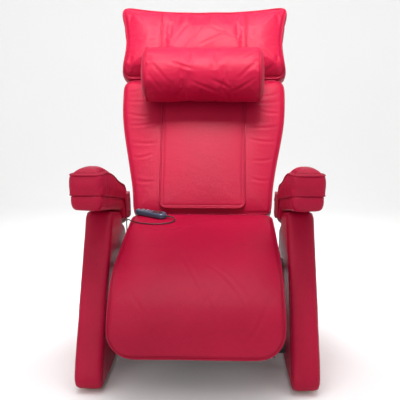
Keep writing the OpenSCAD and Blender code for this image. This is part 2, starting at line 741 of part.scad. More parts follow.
module handset_upper_case() {
  color(slate) on_handset() difference() {
    translate([0, 0, case_low]) linear_extrude(case_high - case_low) handset_outline(0);
    for (p = handset_buttons) translate([p[0], p[1], case_high - pocket]) cylinder(d = button_d + 0.6, h = 10);
    translate([display_x[0], -display_hw, case_high - 2]) cube([display_x[1] - display_x[0], 2 * display_hw, 10]);
  }
  color(slate) on_handset() for (p = handset_buttons)
    translate([p[0], p[1], case_high - pocket]) cylinder(d = post_d, h = post_h);
}
module handset_display() {
  color("darkslategray") on_handset()
    translate([display_x[0], -display_hw, case_high - 2]) cube([display_x[1] - display_x[0], 2 * display_hw, 2]);
}
module handset_button(i) {
  p = handset_buttons[i];
  color("silver") on_handset() translate([p[0], p[1], case_high - pocket + button_up]) difference() {
    cylinder(d = button_d, h = button_h);
    translate([0, 0, -1]) cylinder(d = post_d + 2 * run, h = post_h + 1.2);
  }
}
relief_x = [59.5, 74];
relief_z = 9.5;
module handset_strain_relief() {
  color(black) on_handset() difference() {
    translate([relief_x[0] - 4, 0, relief_z]) rotate([0, 90, 0]) cylinder(d1 = 8, d2 = 6, h = relief_x[1] - relief_x[0] + 4);
    handset_solid();
  }
}
module handset_solid() {
  linear_extrude(case_low) handset_outline(1);
  translate([0, 0, case_low]) linear_extrude(case_high - case_low) handset_outline(0);
}
gland_at = [-seat_hw - 3, -100];
gland_h = [-98, -74];
module cord_gland() {
  // Bracket on the left seat rail with an upright cable gland
  color(black) on_seat() {
    translate([gland_at[0] - 8, gland_at[1] - 10, gland_h[0]]) cube([-gland_at[0] + 8 - rail_x[1], 20, 12]);
    translate([gland_at[0], gland_at[1], gland_h[0] + 12]) cylinder(d = 12, h = 5);
    translate([gland_at[0], gland_at[1], gland_h[0] + 17]) cylinder(d = 9, h = gland_h[1] - gland_h[0] - 17);
  }
}
cord_r = 1.9;
cord_steps = 4;
cord_start = [handset_at[0] + relief_x[1] * cos(handset_turn), handset_at[1] + relief_x[1] * sin(handset_turn),
              touch + relief_z];
cord_points = concat([
  cord_start - 12 * [cos(handset_turn), sin(handset_turn), 0], cord_start,
  [-98, -75, 8], [-92, -88, 4], [-100, -106, 2.2], [-120, -120, 2.2], [-150, -126, 2.2],
  [73 - seat_hw, -124, 2.2], [41 - seat_hw, -114, 2.2], [19 - seat_hw, -102, 3], [8 - seat_hw, -93, 4.8],
  [1 - seat_hw, -87, 3.4], [gland_at[0], -84, -5], [gland_at[0], -85, -28], [gland_at[0], -91, -48],
  [gland_at[0], -98, -62]],
  [[gland_at[0], gland_at[1], gland_h[1]], [gland_at[0], gland_at[1], gland_h[1] - 12]]);
function spline(a, b, c, d, t) =
  0.5 * (2 * b + (c - a) * t + (2 * a - 5 * b + 4 * c - d) * t * t + (3 * b - a - 3 * c + d) * t * t * t);
cord_line = concat(
  [for (i = [1 : len(cord_points) - 3]) for (k = [0 : cord_steps - 1])
    spline(cord_points[i - 1], cord_points[i], cord_points[i + 1], cord_points[i + 2], k / cord_steps)],
  [cord_points[len(cord_points) - 2]]);
cord_n = len(cord_line);
function unit(v) = v / norm(v);
function cord_dir(i) =
  i == 0 ? [cos(handset_turn), sin(handset_turn), 0] :
  i == cord_n - 1 ? [0, 0, -1] :
  unit(cord_line[i + 1] - cord_line[i - 1]);
// First side vector of each ring, carried along without twisting
function carried(v, d) = unit(v - (v * d) * d);
function cord_side(i) = i == 0 ? [0, 0, 1] : carried(cord_side(i - 1), cord_dir(i));
cord_sides = 8;
module handset_cord() {
  rings = [for (i = [0 : cord_n - 1]) let (u = cord_side(i), w = cross(cord_dir(i), u))
    for (k = [0 : cord_sides - 1]) let (a = k * 360 / cord_sides) cord_line[i] + cord_r * (cos(a) * u + sin(a) * w)];
  walls = [for (i = [0 : cord_n - 2]) for (k = [0 : cord_sides - 1]) let (m = (k + 1) % cord_sides)
    [i * cord_sides + k, i * cord_sides + m, (i + 1) * cord_sides + m, (i + 1) * cord_sides + k]];
  first = [for (k = [cord_sides - 1 : -1 : 0]) k];
  last = [for (k = [0 : cord_sides - 1]) (cord_n - 1) * cord_sides + k];
  color(black) on_seat() polyhedron(points = rings, faces = concat(
    [for (f = walls) reversed(f)], [reversed(first)], [reversed(last)]));
}

// ---- left and right pieces
module side_panel_left() { left() side_panel(); }
module side_panel_right() { side_panel(); }
module side_core_left() { left() side_core(); }
module side_core_right() { side_core(); }
module arm_base_left() { left() arm_base(); }
module arm_base_right() { arm_base(); }
module arm_pad_left() { left() arm_pad(); }
module arm_pad_right() { arm_pad(); }
module back_guide_left() { left() back_guide(); }
module back_guide_right() { back_guide(); }
module knead_arm_left() { left() knead_arm(); }
module knead_arm_right() { knead_arm(); }
module roller_upper_left() { left() roller(1); }
module roller_lower_left() { left() roller(-1); }
module roller_upper_right() { roller(1); }
module roller_lower_right() { roller(-1); }
module button_power() { handset_button(0); }
module button_up() { handset_button(1); }
module button_down() { handset_button(2); }
module button_knead() { handset_button(3); }
module button_heat() { handset_button(4); }

side_panel_left();
side_panel_right();
side_core_left();
side_core_right();
arm_base_left();
arm_base_right();
arm_pad_left();
arm_pad_right();
back_guide_left();
back_guide_right();
foot_glides();
base_cross_tubes();
pivot_brackets();
pivot_bushes();
actuator_clevis();
control_box();
power_inlet();
power_switch();
seat_frame();
seat_shell();
seat_cushion();
cord_gland();
handset_cord();
handset_lower_case();
handset_upper_case();
handset_display();
handset_strain_relief();
button_power();
button_up();
button_down();
button_knead();
button_heat();
seat_actuator();
seat_actuator_rod();
back_actuator();
back_actuator_rod();
back_frame();
back_shell();
head_shell();
back_board();
back_cushion();
head_board();
head_cushion();
shell_screws();
massage_rails();
screw_motor();
lead_screw();
massage_carriage();
knead_motor();
knead_shaft();
knead_arm_left();
knead_arm_right();
roller_upper_left();
roller_lower_left();
roller_upper_right();
roller_lower_right();
flap_top();
massage_flap();
neck_bolster();
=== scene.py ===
"""Upholstery, handset, finishes and stage of a massage recliner, built around its CAD frame."""

import json
import math

import bmesh
import bpy
import numpy as np
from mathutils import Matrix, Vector, noise
from mathutils.bvhtree import BVHTree
from mathutils.kdtree import KDTree


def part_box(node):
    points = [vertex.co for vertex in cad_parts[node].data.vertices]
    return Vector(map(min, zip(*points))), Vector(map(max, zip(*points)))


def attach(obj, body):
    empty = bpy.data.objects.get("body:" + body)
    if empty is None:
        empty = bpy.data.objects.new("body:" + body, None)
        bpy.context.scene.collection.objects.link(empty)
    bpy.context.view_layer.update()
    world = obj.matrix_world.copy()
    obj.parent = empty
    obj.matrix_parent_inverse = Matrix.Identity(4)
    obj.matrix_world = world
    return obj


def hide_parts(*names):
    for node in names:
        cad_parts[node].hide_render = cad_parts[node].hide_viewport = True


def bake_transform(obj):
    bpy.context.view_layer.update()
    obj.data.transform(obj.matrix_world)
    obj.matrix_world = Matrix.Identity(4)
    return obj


bl_info = {
    "name": "Massage recliner",
    "version": (1, 0, 0),
    "blender": (4, 5, 0),
    "location": "View3D > Sidebar > Recliner",
    "description": "Builds the cushions, covers and finishes of a massage recliner",
    "category": "Add Mesh",
}

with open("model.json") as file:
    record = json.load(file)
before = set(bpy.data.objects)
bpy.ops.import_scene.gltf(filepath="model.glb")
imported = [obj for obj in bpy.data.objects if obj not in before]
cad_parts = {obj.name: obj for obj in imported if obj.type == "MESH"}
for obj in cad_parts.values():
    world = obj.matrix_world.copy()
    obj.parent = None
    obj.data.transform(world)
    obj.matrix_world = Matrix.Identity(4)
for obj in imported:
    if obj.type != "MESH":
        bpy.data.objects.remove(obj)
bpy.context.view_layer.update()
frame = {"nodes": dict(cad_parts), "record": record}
ARM_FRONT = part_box("arm_pad_left")[0].y  # the plane of the arms' front ends
PANEL = (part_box("side_panel_right")[0].x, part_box("side_panel_right")[1].x)
ARM = (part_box("arm_pad_right")[0].x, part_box("arm_pad_right")[1].x)
SEAT_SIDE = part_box("seat_cushion")[1].x
WAIST, SHOULDER = 0.247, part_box("back_cushion")[1].x
HEAD_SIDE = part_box("head_cushion")[1].x - 0.004
BACK_LEAN = math.radians(24)
THIGH = math.radians(10.4)
HANDSET = (-0.178, -0.042)  # across and along the thigh surface
HANDSET_TURN = math.radians(-23)
RED = (0.36, 0.001, 0.029)


# ---- settings that a user would change


class UpholsterySettings(bpy.types.PropertyGroup):
    """Shape and colour of the padded pieces."""

    colour: bpy.props.FloatVectorProperty(
        name="Leather colour", description="Base colour of the leather", default=RED, subtype="COLOR", min=0, max=1
    )
    roughness: bpy.props.FloatProperty(
        name="Leather roughness", description="How matt the leather is", default=0.43, min=0.1, max=0.9
    )
    piping: bpy.props.FloatProperty(
        name="Piping radius", description="Radius of the cord in the edge piping", default=0.0032, unit="LENGTH"
    )
    seat_crown: bpy.props.FloatProperty(
        name="Seat crown", description="Rise of the seat cushion's middle", default=0.008, unit="LENGTH"
    )
    back_crown: bpy.props.FloatProperty(
        name="Back crown", description="Rise of the back cushion's face", default=0.012, unit="LENGTH"
    )
    head_crown: bpy.props.FloatProperty(
        name="Head crown", description="Rise of the head cushion's middle", default=0.014, unit="LENGTH"
    )
    arm_crown: bpy.props.FloatProperty(
        name="Arm crown", description="Rise of the arm pad's top", default=0.012, unit="LENGTH"
    )
    pressure: bpy.props.FloatProperty(
        name="Stuffing pressure", description="Pressure that puffs the covers", default=4.0, min=0, max=10
    )


class FinishSettings(bpy.types.PropertyGroup):
    """Colours of the hard pieces."""

    steel: bpy.props.FloatVectorProperty(
        name="Steel colour",
        description="Powder coat of the steel frame",
        default=(0.02, 0.02, 0.022),
        subtype="COLOR",
    )
    plastic: bpy.props.FloatVectorProperty(
        name="Shell colour", description="Moulded shells", default=(0.018, 0.018, 0.02), subtype="COLOR"
    )
    handset: bpy.props.FloatVectorProperty(
        name="Handset colour", description="Case of the handset", default=(0.035, 0.055, 0.09), subtype="COLOR"
    )


class StageSettings(bpy.types.PropertyGroup):
    """Camera and light."""

    lens: bpy.props.FloatProperty(
        name="Lens", description="Focal length", default=68.2, unit="CAMERA", min=20, max=200
    )
    overhead: bpy.props.FloatProperty(
        name="Overhead light", description="Power of the soft light above", default=42.0, unit="POWER", min=0
    )
    key: bpy.props.FloatProperty(
        name="Key light", description="Power of the narrow light on the backrest", default=11.0, unit="POWER", min=0
    )
    front: bpy.props.FloatProperty(
        name="Front light", description="Power of the soft light in front", default=24.0, unit="POWER", min=0
    )


# ---- shader expressions


class Sock:
    """A node socket whose arithmetic adds Math nodes."""

    def __init__(self, shader, socket):
        self.shader = shader
        self.socket = socket

    def _math(self, operation, a, b=None):
        values = {0: a} if b is None else {0: a, 1: b}
        return self.shader.node("ShaderNodeMath", {"operation": operation}, values)

    def __add__(self, other):
        return self._math("ADD", self, other)

    def __radd__(self, other):
        return self._math("ADD", other, self)

    def __sub__(self, other):
        return self._math("SUBTRACT", self, other)

    def __rsub__(self, other):
        return self._math("SUBTRACT", other, self)

    def __mul__(self, other):
        return self._math("MULTIPLY", self, other)

    def __rmul__(self, other):
        return self._math("MULTIPLY", other, self)

    def __truediv__(self, other):
        return self._math("DIVIDE", self, other)

    def __pow__(self, other):
        return self._math("POWER", self, other)

    def clip(self):
        return self.shader.node("ShaderNodeClamp", None, {"Value": self})


class Shader:
    """One material and its nodes."""

    def __init__(self, name):
        self.material = bpy.data.materials.new(name)
        self.material.use_nodes = True
        self.tree = self.material.node_tree
        self.tree.nodes.clear()
        self.output = self.tree.nodes.new("ShaderNodeOutputMaterial")
        self.principled = self.tree.nodes.new("ShaderNodeBsdfPrincipled")
        self.tree.links.new(self.principled.outputs[0], self.output.inputs["Surface"])

    def node(self, kind, settings=None, values=None, out=0):
        """Adds a node: its settings first, then the values or links of its sockets."""
        made = self.tree.nodes.new(kind)
        for key, value in (settings or {}).items():
            if key == "stops":
                while len(made.color_ramp.elements) < len(value):
                    made.color_ramp.elements.new(0.5)
                for element, (position, colour) in zip(made.color_ramp.elements, value):
                    element.position = position
                    element.color = (*colour, 1) if len(colour) == 3 else colour
            else:
                setattr(made, key, value)
        for key, value in (values or {}).items():
            self.feed(made.inputs[key], value)
        return Sock(self, made.outputs[out])

    def feed(self, socket, value):
        if isinstance(value, Sock):
            self.tree.links.new(value.socket, socket)
        elif hasattr(socket.default_value, "__len__") and hasattr(value, "__len__"):
            socket.default_value = (*value, 1) if len(socket.default_value) == 4 and len(value) == 3 else value
        else:
            socket.default_value = value

    def set(self, **sockets):
        for key, value in sockets.items():
            self.feed(self.principled.inputs[key.replace("_", " ")], value)
        return self

    def place(self):
        return self.node("ShaderNodeTexCoord", out=3)

    def noise(self, scale, detail=3.0, rough=0.5, where=None):
        return self.node(
            "ShaderNodeTexNoise", None,
            {"Vector": where or self.place(), "Scale": scale, "Detail": detail, "Roughness": rough},
        )

    def cells(self, scale, feature="DISTANCE_TO_EDGE", where=None):
        inputs = {"Vector": where or self.place(), "Scale": scale}
        return self.node("ShaderNodeTexVoronoi", {"feature": feature}, inputs)

    def stretched(self, sx, sy, sz):
        return self.node("ShaderNodeMapping", None, {"Vector": self.place(), "Scale": (sx, sy, sz)})

    def mix(self, factor, a, b):
        made = self.tree.nodes.new("ShaderNodeMix")
        made.data_type = "RGBA"
        self.feed(made.inputs[0], factor)
        self.feed(made.inputs[6], a)
        self.feed(made.inputs[7], b)
        return Sock(self, made.outputs[2])

    def bump(self, height, strength, distance, normal=None):
        values = {"Height": height, "Strength": strength, "Distance": distance}
        if normal is not None:
            values["Normal"] = normal
        return self.node("ShaderNodeBump", None, values)

    def mark(self, name):
        """A painted vertex attribute, 0 to 1."""
        return self.node("ShaderNodeAttribute", {"attribute_name": name}, out=2)


def darker(colour, share):
    return tuple(c * share for c in colour)


def leather(name, colour, rough):
    """Soft grained upholstery leather: pebbled grain, faint creases and painted shade in the pressed seam grooves."""
    s = Shader(name)
    pebble = (s.cells(620) * 7.0).clip()
    pores = s.noise(1700, 2)
    crease = s.noise(22, 6, 0.58, s.stretched(1, 0.6, 1.7))
    vein = (s.cells(34, where=s.stretched(1, 0.7, 1.5)) * 14.0).clip()
    cloud = s.noise(3.4, 4)
    seam = s.mark("seam")
    tone = s.node("ShaderNodeMapRange", None, {"Value": cloud, "From Min": 0.3, "From Max": 0.7})
    base = s.mix(tone, darker(colour, 0.86), tuple(min(1, c * 1.10 + 0.002) for c in colour))
    base = s.mix((1 - pebble) * 0.22, base, darker(colour, 0.40))
    base = s.mix((1 - vein) * 0.10, base, darker(colour, 0.55))
    # painted shade: the base colour darkens along the pressed seam grooves, where shade falls in the recess
    base = s.mix(seam * 0.62, base, darker(colour, 0.32))
    s.set(Base_Color=base, Roughness=rough + (cloud - 0.5) * 0.14 + seam * 0.15 + (1 - pebble) * 0.10)
    height = crease * 0.0016 + pebble * 0.00016 + pores * 0.00006 + vein * 0.00022
    s.set(Normal=s.bump(height, 0.75, 1.0), Coat_Weight=0.03, Coat_Roughness=0.30)
    s.set(Sheen_Weight=0.02, Sheen_Roughness=0.4, Sheen_Tint=(1.0, 0.2, 0.4, 1.0), Specular_IOR_Level=0.15)
    return s.material


def powder_coat(name, colour):
    s = Shader(name)
    peel = s.noise(900, 2)
    dust = s.noise(7, 4)
    s.set(Base_Color=s.mix(dust, colour, tuple(c * 1.7 + 0.006 for c in colour)))
    s.set(Roughness=0.36 + dust * 0.22, Normal=s.bump(peel, 0.25, 0.0003), Specular_IOR_Level=0.5)
    return s.material


def bright_steel(name):
    s = Shader(name)
    drawn = s.noise(420, 3, 0.6, s.stretched(1, 0.05, 0.05))
    haze = s.noise(9, 3)
    s.set(Base_Color=s.mix(haze, (0.56, 0.57, 0.59), (0.42, 0.43, 0.45)), Metallic=1.0)
    s.set(Roughness=0.22 + drawn * 0.16, Normal=s.bump(drawn, 0.10, 0.0002))
    return s.material


def moulded(name, colour, rough=0.5, grain=620, depth=0.0004):
    """Injection-moulded plastic with a spark-eroded texture."""
    s = Shader(name)
    texture = s.noise(grain, 3, 0.6)
    wear = s.noise(11, 4)
    s.set(Base_Color=s.mix(wear, colour, tuple(c * 1.5 + 0.004 for c in colour)))
    s.set(Roughness=rough + (wear - 0.5) * 0.14, Normal=s.bump(texture, 0.35, depth))
    return s.material


def plywood(name):
    s = Shader(name)
    plies = s.node("ShaderNodeTexWave", {"wave_type": "BANDS", "bands_direction": "Y"},
                   {"Vector": s.stretched(1, 1, 1), "Scale": 60, "Distortion": 1.5, "Detail": 3})
    fibre = s.noise(90, 4, 0.6, s.stretched(0.12, 1, 1))
    s.set(Base_Color=s.mix(plies * 0.5 + fibre * 0.5, (0.50, 0.33, 0.17), (0.66, 0.47, 0.27)))
    s.set(Roughness=0.62 + fibre * 0.15, Normal=s.bump(fibre, 0.3, 0.0004))
    return s.material


def rubber(name, colour):
    s = Shader(name)
    dust = s.noise(60, 4)
    s.set(Base_Color=s.mix(dust, colour, tuple(c * 1.6 + 0.004 for c in colour)))
    s.set(Roughness=0.46 + dust * 0.2, Normal=s.bump(s.noise(1200, 2), 0.2, 0.0002))
    return s.material


MATERIALS = {}


def finish_of(name):
    """The named material, made when it is first wanted."""
    if name not in MATERIALS:
        up = bpy.context.scene.chair_upholstery
        hard = bpy.context.scene.chair_finishes
        makers = {
            "leather_red": lambda: leather("leather_red", tuple(up.colour), up.roughness),
            "piping_red": lambda: leather("piping_red", darker(tuple(up.colour), 0.86), up.roughness),
            "steel_black": lambda: powder_coat("steel_black", tuple(hard.steel)),
            "steel_bright": lambda: bright_steel("steel_bright"),
            "plastic_black": lambda: moulded("plastic_black", tuple(hard.plastic)),
            "plastic_red": lambda: moulded("plastic_red", darker(tuple(up.colour), 0.5), 0.55),
            "plastic_slate": lambda: moulded("plastic_slate", tuple(hard.handset), 0.30, 1400, 0.0001),
            "plastic_ivory": lambda: moulded("plastic_ivory", (0.62, 0.58, 0.46), 0.42, 500),
            "key_silver": lambda: moulded("key_silver", (0.16, 0.17, 0.19), 0.30, 1600, 0.0001),
            "display": lambda: moulded("display", (0.012, 0.02, 0.022), 0.12, 300, 0.00002),
            "plywood": lambda: plywood("plywood"),
            "cord_black": lambda: rubber("cord_black", (0.012, 0.012, 0.014)),
        }
        MATERIALS[name] = makers[name]()
    return MATERIALS[name]


# ---- placing pieces


def side(x, y, z):
    """A point from the chair's side view: y from the arm fronts backwards, z above the floor."""
    return Vector((x, ARM_FRONT + y, z))


def in_back(x, depth, along):
    """A point in the backrest's frame: depth into the backrest, and height along it."""
    c, s = math.cos(BACK_LEAN), math.sin(BACK_LEAN)
    return side(x, 0.560 + depth * c + along * s, 0.450 - depth * s + along * c)


def on_thigh(x, along, above):
    """A point in the frame of the seat's thigh surface."""
    c, s = math.cos(THIGH), math.sin(THIGH)
    return side(x, 0.552 + along * c - above * s, 0.448 + along * s + above * c)


THIGH_LENGTH = 0.422 / math.cos(THIGH)
THIGH_FRONT = (0.130, 0.448 - 0.422 * math.tan(THIGH))


def seat_at(s, depth):
    """Side-view point of the seat path at arc length s from its rear, depth below the surface."""
    bends = ((math.radians(35), 0.420), (math.radians(78), 0.130))
    angle, y, z = THIGH, *THIGH_FRONT
    if s <= THIGH_LENGTH:
        back = THIGH_LENGTH - s
        c, t = math.cos(angle), math.sin(angle)
        return y + back * c + depth * t, z + back * t - depth * c
    left = s - THIGH_LENGTH
    for end, radius in bends:
        length = (end - angle) * radius
        cy, cz = y + radius * math.sin(angle), z - radius * math.cos(angle)
        a = angle + min(left, length) / radius
        y, z = cy - radius * math.sin(a), cz + radius * math.cos(a)
        angle = a
        left -= length
        if left <= 0:
            break
    if left > 0:
        y, z = y - left * math.cos(angle), z - left * math.sin(angle)
    return y + depth * math.sin(angle), z - depth * math.cos(angle)


SEAT_LENGTH = THIGH_LENGTH + math.radians(24.6) * 0.420 + math.radians(43) * 0.130 + 0.088
ARM_SLOPE = math.radians(8.3)
ARM_TOP = 0.637
ARM_STRAIGHT = 0.455  # how far back the arm's top line runs straight
ARM_BEND_R = 0.130
ARM_BEND = (
    ARM_STRAIGHT - ARM_BEND_R * math.sin(ARM_SLOPE),
    ARM_TOP - ARM_STRAIGHT * math.tan(ARM_SLOPE) - ARM_BEND_R * math.cos(ARM_SLOPE),
)
ARM_RUN = ARM_STRAIGHT / math.cos(ARM_SLOPE)
ARM_LENGTH = ARM_RUN + math.radians(99.7) * ARM_BEND_R


def arm_swell(s):
    """How far the arm pad's top stands over its straight line: a swell in front, a fall at the rear."""
    if s < 0.30:
        return 0.013 * max(0.0, math.sin(math.pi * s / 0.30)) ** 0.8
    return -0.010 * math.sin(math.pi * min(1, (s - 0.30) / 0.34))


def arm_at(s, depth):
    """Side-view point of the arm's top line at arc length s from its front, depth below it."""
    depth -= arm_swell(s) * max(0.0, 1 - depth / 0.06)
    square = max(0.0, 1 - s / 0.25)  # the front face is upright
    if s <= ARM_RUN:
        c, t = math.cos(ARM_SLOPE), math.sin(ARM_SLOPE)
        return s * c - depth * t * (1 - square), ARM_TOP - s * t - depth * (c * (1 - square) + square / c)
    a = math.radians(90) - ARM_SLOPE - (s - ARM_RUN) / ARM_BEND_R
    return ARM_BEND[0] + (ARM_BEND_R - depth) * math.cos(a), ARM_BEND[1] + (ARM_BEND_R - depth) * math.sin(a)


def ease(t):
    t = min(1.0, max(0.0, t))
    return t * t * (3 - 2 * t)


# ---- outlines and meshes


def rounded(corners, step=0.012):
    """Closed outline through (x, y, radius) corners, sampled every step."""
    points = []
    n = len(corners)
    for i, (x, y, r) in enumerate(corners):
        here = np.array((x, y))
        before = np.array(corners[i - 1][:2]) - here
        after = np.array(corners[(i + 1) % n][:2]) - here
        lb, la = np.linalg.norm(before), np.linalg.norm(after)
        turn = math.acos(np.clip(np.dot(before, after) / (lb * la), -1, 1))
        cut = min(r / math.tan(turn / 2), lb * 0.49, la * 0.49) if r > 0 else 0
        if cut < 1e-5:
            points.append(here)
            continue
        radius = cut * math.tan(turn / 2)
        bisector = before / lb + after / la
        centre = here + bisector / np.linalg.norm(bisector) * radius / math.sin(turn / 2)
        a0 = here + before / lb * cut - centre
        a1 = here + after / la * cut - centre
        t0, t1 = math.atan2(a0[1], a0[0]), math.atan2(a1[1], a1[0])
        d = (t1 - t0 + math.pi) % (2 * math.pi) - math.pi
        k = max(3, int(abs(d) * radius / step) + 2)
        for j in range(k + 1):
            t = t0 + d * j / k
            points.append(centre + radius * np.array((math.cos(t), math.sin(t))))
    return resampled(np.array(points), step)


def resampled(points, step, closed=True):
    """The same line with even spacing."""
    ring = np.vstack([points, points[:1]]) if closed else points
    lengths = np.linalg.norm(np.diff(ring, axis=0), axis=1)
    keep = np.concatenate([[True], lengths > 1e-7])
    ring = ring[keep]
    lengths = np.linalg.norm(np.diff(ring, axis=0), axis=1)
    travel = np.concatenate([[0], np.cumsum(lengths)])
    n = max(8, int(round(travel[-1] / step)))
    at = np.linspace(0, travel[-1], n + 1)
    if closed:
        at = at[:-1]
    return np.column_stack([np.interp(at, travel, ring[:, k]) for k in range(ring.shape[1])])


def inward(loop):
    """Unit normals of a closed outline, pointing inside."""
    t = np.roll(loop, -1, axis=0) - np.roll(loop, 1, axis=0)
    t /= np.linalg.norm(t, axis=1)[:, None]
    n = np.column_stack([-t[:, 1], t[:, 0]])
    area = np.sum(loop[:, 0] * np.roll(loop[:, 1], -1) - np.roll(loop[:, 0], -1) * loop[:, 1])
    return n if area > 0 else -n


def new_object(name, vertices, faces):
    mesh = bpy.data.meshes.new(name)
    mesh.from_pydata([tuple(v) for v in vertices], [], faces)
    mesh.validate()
    made = bpy.data.objects.new(name, mesh)
    bpy.context.scene.collection.objects.link(made)
    bm = bmesh.new()
    bm.from_mesh(mesh)
    bmesh.ops.remove_doubles(bm, verts=bm.verts, dist=1e-5)
    bmesh.ops.recalc_face_normals(bm, faces=bm.faces)
    bm.to_mesh(mesh)
    bm.free()
    for p in mesh.polygons:
        p.use_smooth = True
    return made


def bridged(name, loops, cap_first=True, cap_last=True, ring=False):
    """Skin over a run of loops of equal length."""
    n = len(loops[0])
    vertices = [p for loop in loops for p in loop]
    faces = []
    count = len(loops)
    for k in range(count if ring else count - 1):
        a, b = k * n, ((k + 1) % count) * n
        faces += [(a + i, a + (i + 1) % n, b + (i + 1) % n, b + i) for i in range(n)]
    if cap_first and not ring:
        faces.append(tuple(reversed(range(n))))
    if cap_last and not ring:
        faces.append(tuple(range((count - 1) * n, count * n)))
    return new_object(name, vertices, faces)


def pad(name, outline, spine, rings, crown, place, window=None):
    """A stuffed pad. outline is its closed shape. rings are (inset, height), from the back face round the edge to
    the front. From there the face rises by crown towards the spine, a segment ((x, y), (x, y)), or to the outline
    of a window."""
    normal = inward(outline)
    flat = [outline + normal * d for d, _ in rings]
    start, end = (np.array(p, float) for p in spine)
    along = end - start
    span = max(1e-9, float(along @ along))

    def towards(loop, t):
        if window is not None:
            return loop + (window - loop) * t
        foot = start + np.clip((loop - start) @ along / span, 0, 1)[:, None] * along
        return loop + (foot - loop) * t

    loops = []
    shares = [0.1, 0.2, 0.32, 0.45, 0.58, 0.7, 0.8, 0.9, 0.985 if window is None else 1.0]
    low, high = rings[0][1], rings[-1][1]
    for t in reversed(shares):
        loops.append([place(u, v, low) for u, v in towards(flat[0], t)])
    for loop, (_, h) in zip(flat, rings):
        loops.append([place(u, v, h) for u, v in loop])
    for t in shares:
        rise = crown * (1 - (1 - t) ** 2.6) if window is None else crown * math.sin(math.pi * min(t, 1.0)) ** 0.6
        loops.append([place(u, v, high + rise) for u, v in towards(flat[-1], t)])
    return bridged(name, loops, ring=window is not None)


def applied(obj, kind, **settings):
    """Adds a modifier and applies it."""
    modifier = obj.modifiers.new(kind.lower(), kind)
    for key, value in settings.items():
        setattr(modifier, key, value)
    keep_evaluated(obj)
    return obj


def keep_evaluated(obj):
    depsgraph = bpy.context.evaluated_depsgraph_get()
    mesh = bpy.data.meshes.new_from_object(obj.evaluated_get(depsgraph))
    obj.modifiers.clear()
    obj.data = mesh
    for p in mesh.polygons:
        p.use_smooth = True


def coordinates(obj):
    co = np.empty(len(obj.data.vertices) * 3)
    obj.data.vertices.foreach_get("co", co)
    return co.reshape(-1, 3)


def set_coordinates(obj, co):
    obj.data.vertices.foreach_set("co", np.asarray(co, float).ravel())
    obj.data.update()


def puffed(obj, cap, held, voxel=0.006, slack=0.0):
    """Remeshes a pad evenly and lets cloth under pressure puff it. held gives each point's hold, 0 to 1."""
    applied(obj, "REMESH", mode="VOXEL", voxel_size=voxel)
    applied(obj, "SMOOTH", factor=0.6, iterations=5)
    rest = coordinates(obj)
    group = obj.vertex_groups.new(name="held")
    for i, p in enumerate(rest):
        group.add([i], min(1.0, max(0.0, held(Vector(p)))), "REPLACE")
    cloth = obj.modifiers.new("cloth", "CLOTH")
    cloth.settings.quality = 4
    cloth.settings.mass = 0.35
    cloth.settings.tension_stiffness = 12
    cloth.settings.compression_stiffness = 12
    cloth.settings.shear_stiffness = 6
    cloth.settings.bending_stiffness = 0.8
    cloth.settings.use_pressure = True
    cloth.settings.uniform_pressure_force = bpy.context.scene.chair_upholstery.pressure
    cloth.settings.vertex_group_mass = "held"
    cloth.settings.shrink_min = -slack
    cloth.settings.effector_weights.gravity = 0
    cloth.collision_settings.use_collision = False
    for step in range(1, 21):
        bpy.context.scene.frame_set(step)
    depsgraph = bpy.context.evaluated_depsgraph_get()
    after = obj.evaluated_get(depsgraph)
    moved = np.empty(len(after.data.vertices) * 3)
    after.data.vertices.foreach_get("co", moved)
    move = moved.reshape(-1, 3) - rest
    far = np.linalg.norm(move, axis=1)
    scale = np.where(far > 1e-9, cap * np.tanh(far / cap) / np.maximum(far, 1e-9), 0)
    obj.modifiers.clear()
    obj.vertex_groups.clear()
    set_coordinates(obj, rest + move * scale[:, None])
    bpy.context.scene.frame_set(1)
    applied(obj, "SUBSURF", levels=1, render_levels=1)
    return obj


def grooved(obj, lines, depth, width):
    """Presses seam lines into a piece and paints shade along them, which the leather darkens in each groove."""
    co = coordinates(obj)
    near = np.full(len(co), 9.0)
    for line in lines:
        line = np.asarray(line, float)
        low, high = line.min(0) - 4 * width, line.max(0) + 4 * width
        close = np.where(np.all((co > low) & (co < high), axis=1))[0]
        for a, b in zip(line[:-1], line[1:]):
            ab = b - a
            t = np.clip((co[close] - a) @ ab / max(1e-12, ab @ ab), 0, 1)
            near[close] = np.minimum(near[close], np.linalg.norm(co[close] - a - t[:, None] * ab, axis=1))
    press = np.exp(-((near / width) ** 2))
    set_coordinates(obj, co - outward_normals(obj) * (depth * press)[:, None])
    # the seam attribute is painted shade for the groove
    painted(obj, np.clip(np.exp(-((near / (0.5 * width)) ** 2)), 0, 1))


def outward_normals(obj):
    normals = np.empty(len(obj.data.vertices) * 3)
    obj.data.vertices.foreach_get("normal", normals)
    return normals.reshape(-1, 3)


def creased(obj, lines, depth, width):
    """Soft folds in a cover: a shallow valley along each line that fades at its ends, with raised sides."""
    co = coordinates(obj)
    press = np.zeros(len(co))
    for line in lines:
        line = np.asarray(settled(obj, line, 0), float)
        low, high = line.min(0) - 4 * width, line.max(0) + 4 * width
        close = np.where(np.all((co > low) & (co < high), axis=1))[0]
        near, where = np.full(len(close), 9.0), np.zeros(len(close))
        for k, (a, b) in enumerate(zip(line[:-1], line[1:])):
            ab = b - a
            t = np.clip((co[close] - a) @ ab / max(1e-12, ab @ ab), 0, 1)
            far = np.linalg.norm(co[close] - a - t[:, None] * ab, axis=1)
            better = far < near
            near[better] = far[better]
            where[better] = (k + t[better]) / (len(line) - 1)
        fade = np.sin(np.pi * np.clip(where, 0, 1)) ** 0.7
        valley = np.exp(-((near / (0.5 * width)) ** 2))
        ridge = np.exp(-(((near - width) / (0.6 * width)) ** 2))
        press[close] += fade * (valley - 0.75 * ridge)
    set_coordinates(obj, co - outward_normals(obj) * (depth * press)[:, None])


